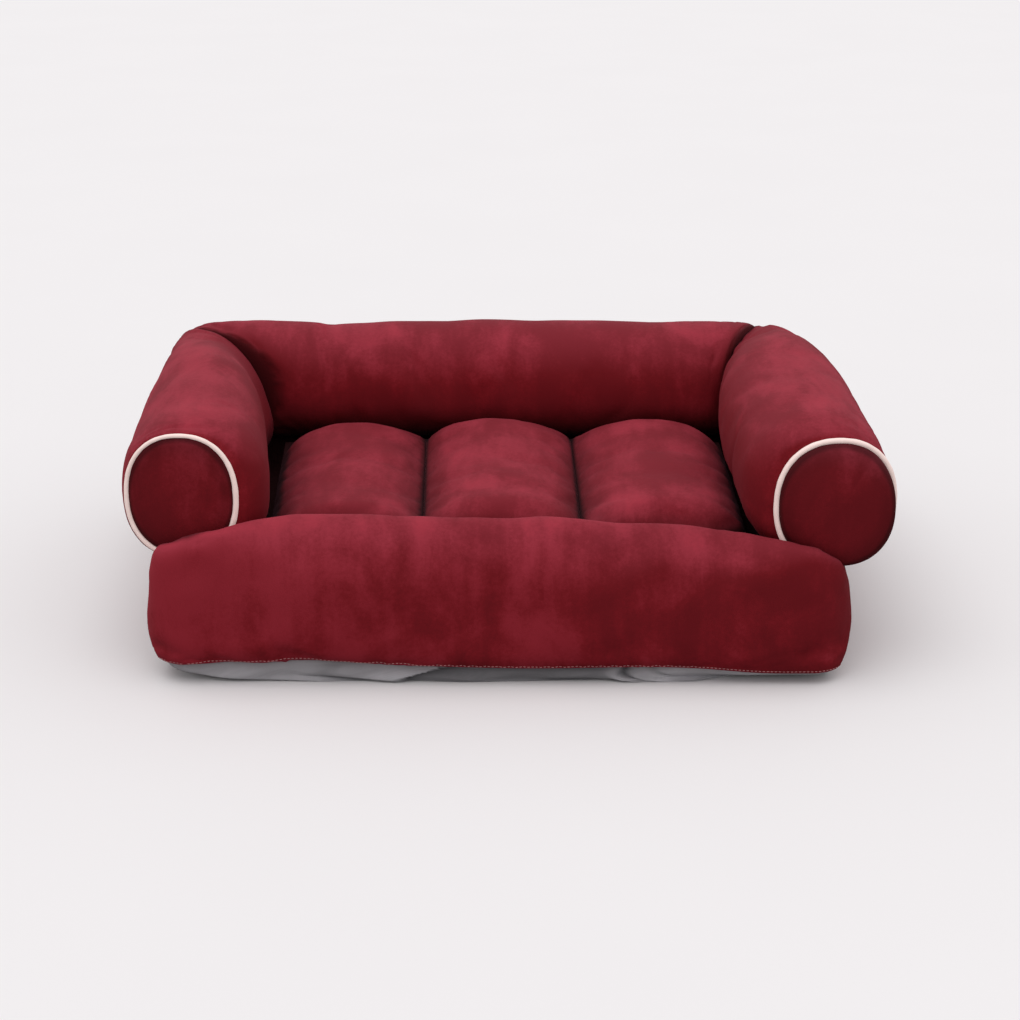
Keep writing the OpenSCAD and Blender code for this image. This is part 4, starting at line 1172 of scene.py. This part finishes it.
class Val:
    """A socket that takes part in sums: each operator adds its Math node."""

    def __init__(self, shader, socket):
        self.shader, self.socket = shader, socket

    def _sum(self, operation, a, b):
        return self.shader.node("ShaderNodeMath", {"operation": operation}, {0: a, 1: b})

    def __add__(self, other):
        return self._sum("ADD", self, other)

    def __radd__(self, other):
        return self._sum("ADD", other, self)

    def __sub__(self, other):
        return self._sum("SUBTRACT", self, other)

    def __rsub__(self, other):
        return self._sum("SUBTRACT", other, self)

    def __mul__(self, other):
        return self._sum("MULTIPLY", self, other)

    def __rmul__(self, other):
        return self._sum("MULTIPLY", other, self)


class Shader:
    """The nodes of one material, or of a tree that is given."""

    def __init__(self, name="", tree=None):
        if tree:
            self.tree = tree
            return
        self.material = bpy.data.materials.new(name)
        self.material.use_nodes = True
        self.tree = self.material.node_tree
        self.tree.nodes.clear()
        self.out = self.tree.nodes.new("ShaderNodeOutputMaterial")

    def node(self, kind, settings=None, values=None, output=0):
        """Adds a node, sets its settings first and then its sockets, and gives one output."""
        made = self.tree.nodes.new(kind)
        for key, value in (settings or {}).items():
            setattr(made, key, value)
        for key, value in (values or {}).items():
            if isinstance(value, Val):
                self.tree.links.new(value.socket, made.inputs[key])
            else:
                made.inputs[key].default_value = value
        self.last = made
        return Val(self, made.outputs[output])

    def blend(self, amount, a, b):
        """Mix of two colours."""
        return self.node("ShaderNodeMix", {"data_type": "RGBA"}, {0: amount, 6: a, 7: b}, output=2)

    def scaled(self, colour, times):
        """A colour times a number."""
        return self.node("ShaderNodeVectorMath", {"operation": "SCALE"}, {0: colour, 3: times})

    def place(self, stretch=(1, 1, 1), source="Object"):
        """Where a point lies in its piece or on its map, with each direction stretched."""
        where = self.node("ShaderNodeTexCoord", output=source)
        return self.node("ShaderNodeMapping", {}, {"Vector": where, "Scale": stretch})

    def noise(self, where, scale, detail=2.0, rough=0.5, warp=0.0):
        """Soft irregular patches from 0 to 1."""
        values = {"Vector": where, "Scale": scale, "Detail": detail, "Roughness": rough, "Distortion": warp}
        return self.node("ShaderNodeTexNoise", {}, values)

    def threads(self, direction, where, scale, warp=0.0, detail=2.0):
        """Bands side by side in a direction, as parallel threads lie."""
        values = {"Vector": where, "Scale": scale, "Distortion": warp, "Detail": detail}
        return self.node("ShaderNodeTexWave", {"bands_direction": direction}, values)

    def bump(self, height, strength, distance):
        """Small relief from a height."""
        values = {"Height": height, "Strength": strength, "Distance": distance}
        return self.node("ShaderNodeBump", {}, values)

    def painted(self, name):
        """A value noted at the piece's points."""
        return self.node("ShaderNodeAttribute", {"attribute_name": name}, output=2)

    def finish(self, values):
        """The material, its surface a general shader with these values."""
        self.node("ShaderNodeBsdfPrincipled", {}, values)
        self.tree.links.new(self.last.outputs[0], self.out.inputs["Surface"])
        return self.material


def rgba(colour, times=1.0):
    """A colour times a number, opaque."""
    return (colour[0] * times, colour[1] * times, colour[2] * times, 1.0)


def velvet_material(name, times=1.0):
    """Short plush: brushed patches and upright streaks of light and dark nap, fine pile.

    Upward faces are painted paler and pinker as light from above, the painted brush values lighten or
    darken it as painted light and shade along with the nap, and seams and crevices are painted near black
    as shade.
    """
    if name in bpy.data.materials:
        return bpy.data.materials[name]
    colours = bpy.context.scene.bed_colours
    sh = Shader(name)
    where = sh.place()
    patches = sh.noise(sh.place((15, 9, 13)), 1.0, 4.0, 0.55, 0.6)
    streaks = sh.noise(sh.place((34, 8, 6)), 1.0, 3.0, 0.6)
    pile = sh.noise(where, 900.0, 2.0, 0.7)
    tufts = sh.noise(where, 260.0, 2.0, 0.6)
    nap = patches * 0.50 + streaks * 0.28 + tufts * 0.12 + pile * 0.10
    # The painted brush values add the nap's stroke together with painted light and shade
    nap = nap + sh.painted("brush") * 0.09
    # The patches lie close to 0.5; this spreads them from dark to light
    spread = {0: nap, 1: 0.365, 2: 0.635}
    shade = sh.node("ShaderNodeMapRange", {"interpolation_type": "SMOOTHSTEP"}, spread)
    # Painted highlight: faces that turn up take the paler, pinker copy of the velvet
    painted_light_share = sh.node("ShaderNodeClamp", {}, {0: sh.painted("rise") + (shade - 0.5) * 0.7, 2: 1.5})
    base = sh.blend(painted_light_share, rgba(colours.velvet, times), rgba(colours.velvet_painted_light, times))
    base = sh.scaled(base, 0.75 + shade * 0.5)
    # Painted shade: seams and crevices go near black
    base = sh.blend(sh.painted("deep"), base, rgba(colours.velvet, 0.06))
    return sh.finish({
        "Base Color": base,
        "Roughness": 0.85,
        "Specular IOR Level": 0.15,
        "Sheen Weight": 0.03,
        "Sheen Roughness": 0.4,
        "Sheen Tint": (1.0, 0.38, 0.55, 1.0),
        "Normal": sh.bump(pile * 0.6 + tufts * 0.4, 0.35, 0.0007),
    })


def cloth_material(name, colour):
    """Plain woven bag cloth: two sets of threads, slightly uneven, with the folds' painted shade and
    highlights.
    """
    sh = Shader(name)
    where = sh.place()
    across = sh.threads("X", where, 320.0, 0.4, 1.0)
    along = sh.threads("Y", where, 320.0, 0.4, 1.0)
    uneven = sh.noise(where, 60.0, 3.0, 0.6)
    worn = sh.noise(where, 9.0, 2.0, 0.5)
    shade = uneven * 0.4 + worn * 0.4 + across * 0.1 + along * 0.1
    base = sh.blend(shade, rgba(colour, 0.75), rgba(colour, 1.2))
    # The painted values darken the cloth as shade in the folds and lighten it as highlights on them
    return sh.finish({
        "Base Color": sh.scaled(base, sh.painted("brush") + 1.0),
        "Roughness": 0.8,
        "Specular IOR Level": 0.2,
        "Normal": sh.bump(across + along, 0.3, 0.0003),
    })


def piping_material(name, colour):
    """Bias-cut satin over a cord: fine slanting threads, and a faint emission in its own colour as painted
    light.
    """
    sh = Shader(name)
    threads = sh.threads("DIAGONAL", sh.place(source="UV"), 3.0, 0.3)
    uneven = sh.noise(sh.place(), 120.0, 2.0, 0.5)
    base = sh.blend(uneven, rgba(colour, 0.9), rgba(colour, 1.05))
    return sh.finish({
        "Base Color": base,
        "Roughness": 0.55,
        "Specular IOR Level": 0.4,
        "Sheen Weight": 0.2,
        "Normal": sh.bump(threads, 0.25, 0.0003),
        # Painted light: the piping glows faintly in its own colour
        "Emission Color": base,
        "Emission Strength": 0.25,
    })


def thread_material(name, colour):
    """Twisted sewing thread: slanting bands of light and shade."""
    sh = Shader(name)
    twist = sh.threads("DIAGONAL", sh.place(), 500.0)
    base = sh.blend(twist, rgba(colour, 0.8), rgba(colour, 1.1))
    bump = sh.bump(twist, 0.3, 0.0002)
    return sh.finish({"Base Color": base, "Roughness": 0.6, "Sheen Weight": 0.3, "Normal": bump})


def tape_material(name, colour):
    """Woven zip tape: ribs across it."""
    sh = Shader(name)
    where = sh.place()
    ribs = sh.threads("X", where, 300.0, 0.1)
    cords = sh.threads("Z", where, 160.0, 0.1)
    base = sh.blend(ribs * 0.6 + cords * 0.4, rgba(colour, 0.7), rgba(colour, 1.2))
    bump = sh.bump(ribs + cords, 0.4, 0.0002)
    return sh.finish({"Base Color": base, "Roughness": 0.75, "Normal": bump})


def plastic_material(name, colour):
    """Moulded plastic teeth, slightly mottled."""
    sh = Shader(name)
    mottle = sh.noise(sh.place(), 700.0, 2.0, 0.5)
    base = sh.blend(mottle, rgba(colour, 0.85), rgba(colour, 1.1))
    rough = 0.32 + mottle * 0.15
    bump = sh.bump(mottle, 0.1, 0.0001)
    return sh.finish({"Base Color": base, "Roughness": rough, "Normal": bump})


def metal_material(name, colour):
    """Plated die-cast metal with fine brushing and stained patches."""
    sh = Shader(name)
    brush = sh.noise(sh.place((60, 60, 900)), 1.0, 2.0, 0.6)
    stain = sh.noise(sh.place(), 150.0, 3.0, 0.6)
    base = sh.blend(stain, rgba(colour, 0.75), rgba(colour, 1.1))
    rough = 0.24 + brush * 0.2
    bump = sh.bump(brush, 0.08, 0.0001)
    return sh.finish({"Base Color": base, "Metallic": 1.0, "Roughness": rough, "Normal": bump})


def dress(node, material):
    """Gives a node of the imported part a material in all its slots."""
    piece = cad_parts[node]
    if not piece.material_slots:
        piece.data.materials.append(material)
    for slot in piece.material_slots:
        slot.material = material


class BED_OT_zip(bpy.types.Operator):
    """Finishes of the zip's tapes, teeth, stops, slider and pull"""

    bl_idname = "bed.zip"
    bl_label = "Zip"

    def execute(self, context):
        colours = context.scene.bed_colours
        tape = tape_material("woven_tape", colours.tape)
        teeth = plastic_material("moulded_teeth", colours.teeth)
        metal = metal_material("plated_metal", colours.metal)
        for half in ("upper", "lower"):
            dress("zip_tape_" + half, tape)
            dress("zip_teeth_" + half, teeth)
        for node in ("zip_stops", "zip_slider", "zip_pull"):
            dress(node, metal)
        return {"FINISHED"}


# ---------------------------------------------------------------- stage


# The floor lies a hair below the bed, so that the two never share a plane
FLOOR_Z = -0.0002
FLOOR_THICK = 0.05
FLOOR_RINGS = (0.5, 2.0, 6.0, 20.0)
# Strength of the world as a light; the camera and reflections see it at full strength
WORLD_LIGHT = 0.74
# The camera's place as in the photo: its height angle, its distance from what it looks at
CAMERA_TIP = math.radians(20)
CAMERA_FAR = 2.46
CAMERA_AIM_Z = 0.088
LENS_MM = 74.7


class BED_OT_stage(bpy.types.Operator):
    """Pale floor, soft studio light and the camera"""

    bl_idname = "bed.stage"
    bl_label = "Stage"

    def execute(self, context):
        scene = context.scene
        a = TAU * np.arange(96) / 96
        circle = np.stack([np.cos(a), np.sin(a), 0 * a], axis=-1)
        centre, thick = np.array([0, 0, FLOOR_Z]), np.array([0, 0, FLOOR_THICK])
        rows = [centre + circle * r for r in FLOOR_RINGS]
        rows.append(rows[-1] - thick)
        floor = build("floor", rows, centre, centre - thick)
        # Pale to the camera, but dim to the light that would bounce off it onto the bed
        sh = Shader("floor")
        speck = sh.noise(sh.place(), 3.0, 2.0, 0.5)
        pale = sh.blend(speck, (0.90, 0.885, 0.891, 1), (0.92, 0.905, 0.911, 1))
        camera_ray = sh.node("ShaderNodeLightPath", output="Is Camera Ray")
        base = sh.blend(camera_ray, (0.25, 0.24, 0.24, 1), pale)
        dull = {"Base Color": base, "Roughness": 1.0, "Specular IOR Level": 0.0}
        floor.data.materials.append(sh.finish(dull))

        world = bpy.data.worlds.new("studio")
        world.use_nodes = True
        tree = world.node_tree
        background = tree.nodes["Background"]
        background.inputs["Color"].default_value = (0.905, 0.889, 0.896, 1)
        sky = Shader(tree=tree)
        kinds = ("Is Camera Ray", "Is Glossy Ray", "Is Transmission Ray")
        camera_ray, glossy, through_glass = (sky.node("ShaderNodeLightPath", output=kind) for kind in kinds)
        any_ray = sky.node("ShaderNodeClamp", {}, {0: camera_ray + glossy + through_glass})
        tree.links.new((WORLD_LIGHT + any_ray * (1 - WORLD_LIGHT)).socket, background.inputs["Strength"])
        scene.world = world

        light = bpy.data.lights.new("key", "SUN")
        light.energy = 1.0
        light.angle = math.radians(60)
        lamp = bpy.data.objects.new("key", light)
        lamp.rotation_euler = (math.radians(10), math.radians(-8), 0)
        scene.collection.objects.link(lamp)

        lens = bpy.data.cameras.new("camera")
        lens.sensor_width = 36
        lens.lens = LENS_MM
        camera = bpy.data.objects.new("camera", lens)
        back = Vector((0, -math.cos(CAMERA_TIP), math.sin(CAMERA_TIP)))
        camera.location = Vector((0, 0, CAMERA_AIM_Z)) + CAMERA_FAR * back
        camera.rotation_euler = (math.pi / 2 - CAMERA_TIP, 0, 0)
        scene.collection.objects.link(camera)
        scene.camera = camera
        scene.view_settings.view_transform = "Standard"
        return {"FINISHED"}


# ---------------------------------------------------------------- sizes and colours


def size(name, default, note):
    """A length."""
    return bpy.props.FloatProperty(name=name, description=note, default=default, unit="LENGTH", precision=4)


def ratio(name, default, note):
    """A plain number."""
    return bpy.props.FloatProperty(name=name, description=note, default=default, precision=3)


def tint(name, default, note):
    """A colour."""
    return bpy.props.FloatVectorProperty(
        name=name, description=note, default=default, size=3, subtype="COLOR", min=0, max=1
    )


class BedSizes(bpy.types.PropertyGroup):
    """Sizes of the stuffed pieces, in metres"""

    base_left_x: size("Base, left side", -0.3780, "Left side of the base where it is fullest")
    base_right_x: size("Base, right side", 0.3575, "Right side of the base where it is fullest")
    corner_r: size("Corner radius", 0.042, "Radius of the base's corners from above")
    front_seam_in: size("Front seam", 0.012, "How far the seam is drawn in under the front")
    left_seam_in: size("Left seam, in", 0.026, "How far the seam is drawn in under the left side")
    right_seam_in: size("Right seam, in", 0.030, "How far the seam is drawn in under the right side")
    foot_in: size("Foot", 0.007, "How far inside its seam the bottom cloth meets the floor")
    foot_r: size("Foot corners", 0.165, "Radius of the corners of the flat stretch on the floor")
    deck_in: size("Deck edge", 0.024, "How far in from the sides the deck becomes flat")
    rim_crest_in: size("Rim crest", 0.045, "Distance of the rim's crest from the front")
    rim_foot_in: size("Rim foot", 0.092, "Distance of the rim's inner foot from the front")
    arm_swell_run: size("Arm swell", 0.070, "Length over which the arms swell behind the discs")
    left_mitre_x: size(
        "Left corner seam, x", 0.274, "Inner end of the seam between left arm and back, from the middle"
    )
    left_mitre_y: size("Left corner seam, y", 0.1495, "Inner end of the seam between left arm and back")
    left_mitre_slope: ratio("Left corner seam, slope", 0.68, "Slope of that seam seen from above")
    right_mitre_x: size(
        "Right corner seam, x", 0.258, "Inner end of the seam between right arm and back, from the middle"
    )
    right_mitre_y: size("Right corner seam, y", 0.150, "Inner end of the seam between right arm and back")
    right_mitre_slope: ratio("Right corner seam, slope", 2.0, "Slope of that seam seen from above")
    right_arm_end_y: size("Right arm end", 0.284, "Rear end of the right arm")
    right_corner_x: size("Right rear corner, x", 0.318, "Where the right arm's rear end begins to turn")
    right_corner_run: size("Right rear corner, run", 0.072, "Width over which it turns")
    back_left_x: size("Back, left end", -0.413, "Left end of the back bolster")
    left_corner_y: size("Left rear corner, y", 0.236, "Where the back's left end begins to turn")
    left_corner_run: size("Left rear corner, run", 0.054, "Depth over which it turns")
    back_y: size("Back place", 0.218, "Distance of the back bolster's middle from the middle of the bed")
    back_w: size("Back thickness", 0.137, "Thickness of the back bolster")
    disc_edge_y: size("Disc seam", -0.253, "Place of the discs' piped seam, towards the front")
    disc_dome: size("Disc dome", 0.009, "How far the filling domes the discs")
    right_disc_bulge: size("Right disc bulge", 0.009, "How much further the right disc is stuffed out")
    right_disc_over: size(
        "Right disc overhang", 0.006, "How far it swells over its piping on the outer side"
    )
    left_disc_x: size(
        "Left disc place", 0.3395, "Distance of the left disc's middle from the middle of the bed"
    )
    left_disc_w: size("Left disc width", 0.1085, "Width of the left disc inside its piping")
    left_disc_h: size("Left disc height", 0.127, "Height of the left disc inside its piping")
    left_disc_top: size("Left disc top", 0.2590, "Height of the top of the left disc")
    right_disc_x: size(
        "Right disc place", 0.3370, "Distance of the right disc's middle from the middle of the bed"
    )
    right_disc_w: size("Right disc width", 0.119, "Width of the right disc inside its piping")
    right_disc_h: size("Right disc height", 0.131, "Height of the right disc inside its piping")
    right_disc_top: size("Right disc top", 0.2520, "Height of the top of the right disc")
    right_disc_tilt: size(
        "Right disc turn", 0.010, "How much further back the right disc's outer edge lies"
    )
    piping_d: size("Piping thickness", 0.0058, "Thickness of the piping cord")
    seat_left_x: size("Seat, left side", -0.259, "Left side of the seat")
    seat_right_x: size("Seat, right side", 0.256, "Right side of the seat")
    left_seam_x: size("Left seam", -0.0935, "Place of the seat's left seam at the front")
    right_seam_x: size("Right seam", 0.0715, "Place of the seat's right seam at the front")
    seat_left_crown: size("Left channel", 0.0400, "Height of the left channel above the deck")
    seat_mid_crown: size("Middle channel", 0.0480, "Height of the middle channel above the deck")
    seat_right_crown: size("Right channel", 0.0460, "Height of the right channel above the deck")
    seat_valley: size("Seat seams", 0.0060, "Height of the seat's seams above the deck")
    seat_front_run: size("Seat front", 0.040, "Length over which the channels round off at the front")
    seat_rear_run: size("Seat rear", 0.085, "Length over which the channels round off at the rear")


class BedColours(bpy.types.PropertyGroup):
    """Colours of the cloths, the piping and the zip"""

    velvet: tint("Velvet", (0.250, 0.0100, 0.0175), "Plush velvet where it faces sideways")
    # Painted light: the paler, pinker copy of the velvet that upward faces take
    velvet_painted_light: tint("Velvet from above", (0.300, 0.0270, 0.0440), "Plush velvet where it faces up")
    piping: tint("Piping", (0.93, 0.74, 0.69), "Piping round the discs")
    thread: tint("Thread", (0.66, 0.27, 0.27), "Stitches along the hem")
    bag_cloth: tint("Bag cloth", (0.41, 0.40, 0.42), "Cloth under the bed")
    tape: tint("Zip tape", (0.085, 0.010, 0.015), "Woven tapes of the zip")
    teeth: tint("Zip teeth", (0.12, 0.016, 0.022), "Moulded teeth of the zip")
    metal: tint("Zip metal", (0.62, 0.63, 0.65), "Slider, pull and stops of the zip")


class BED_PT_pieces(bpy.types.Panel):
    """Lists the bed's pieces, sizes and colours"""

    bl_idname = "BED_PT_pieces"
    bl_label = "Dog bed"
    bl_space_type = "VIEW_3D"
    bl_region_type = "UI"
    bl_category = "Dog bed"

    def draw(self, context):
        for operator in OPERATORS:
            self.layout.operator(operator.bl_idname)
        for group in (context.scene.bed_sizes, context.scene.bed_colours):
            box = self.layout.box()
            for key in group.bl_rna.properties.keys():
                if key not in ("rna_type", "name"):
                    box.prop(group, key)


OPERATORS = [
    BED_OT_stage,
    BED_OT_base,
    BED_OT_bottom,
    BED_OT_arms,
    BED_OT_back,
    BED_OT_seat,
    BED_OT_discs,
    BED_OT_zip,
]
CLASSES = [BedSizes, BedColours] + OPERATORS + [BED_PT_pieces]


def register():
    """Makes the bed's classes and settings known."""
    for cls in CLASSES:
        bpy.utils.register_class(cls)
    bpy.types.Scene.bed_sizes = bpy.props.PointerProperty(type=BedSizes)
    bpy.types.Scene.bed_colours = bpy.props.PointerProperty(type=BedColours)


def unregister():
    """Takes them away again."""
    del bpy.types.Scene.bed_colours
    del bpy.types.Scene.bed_sizes
    for cls in reversed(CLASSES):
        bpy.utils.unregister_class(cls)


def main():
    """Makes every piece in order."""
    register()
    for operator in OPERATORS:
        family, name = operator.bl_idname.split(".")
        getattr(getattr(bpy.ops, family), name)()


if __name__ == "__main__":
    main()
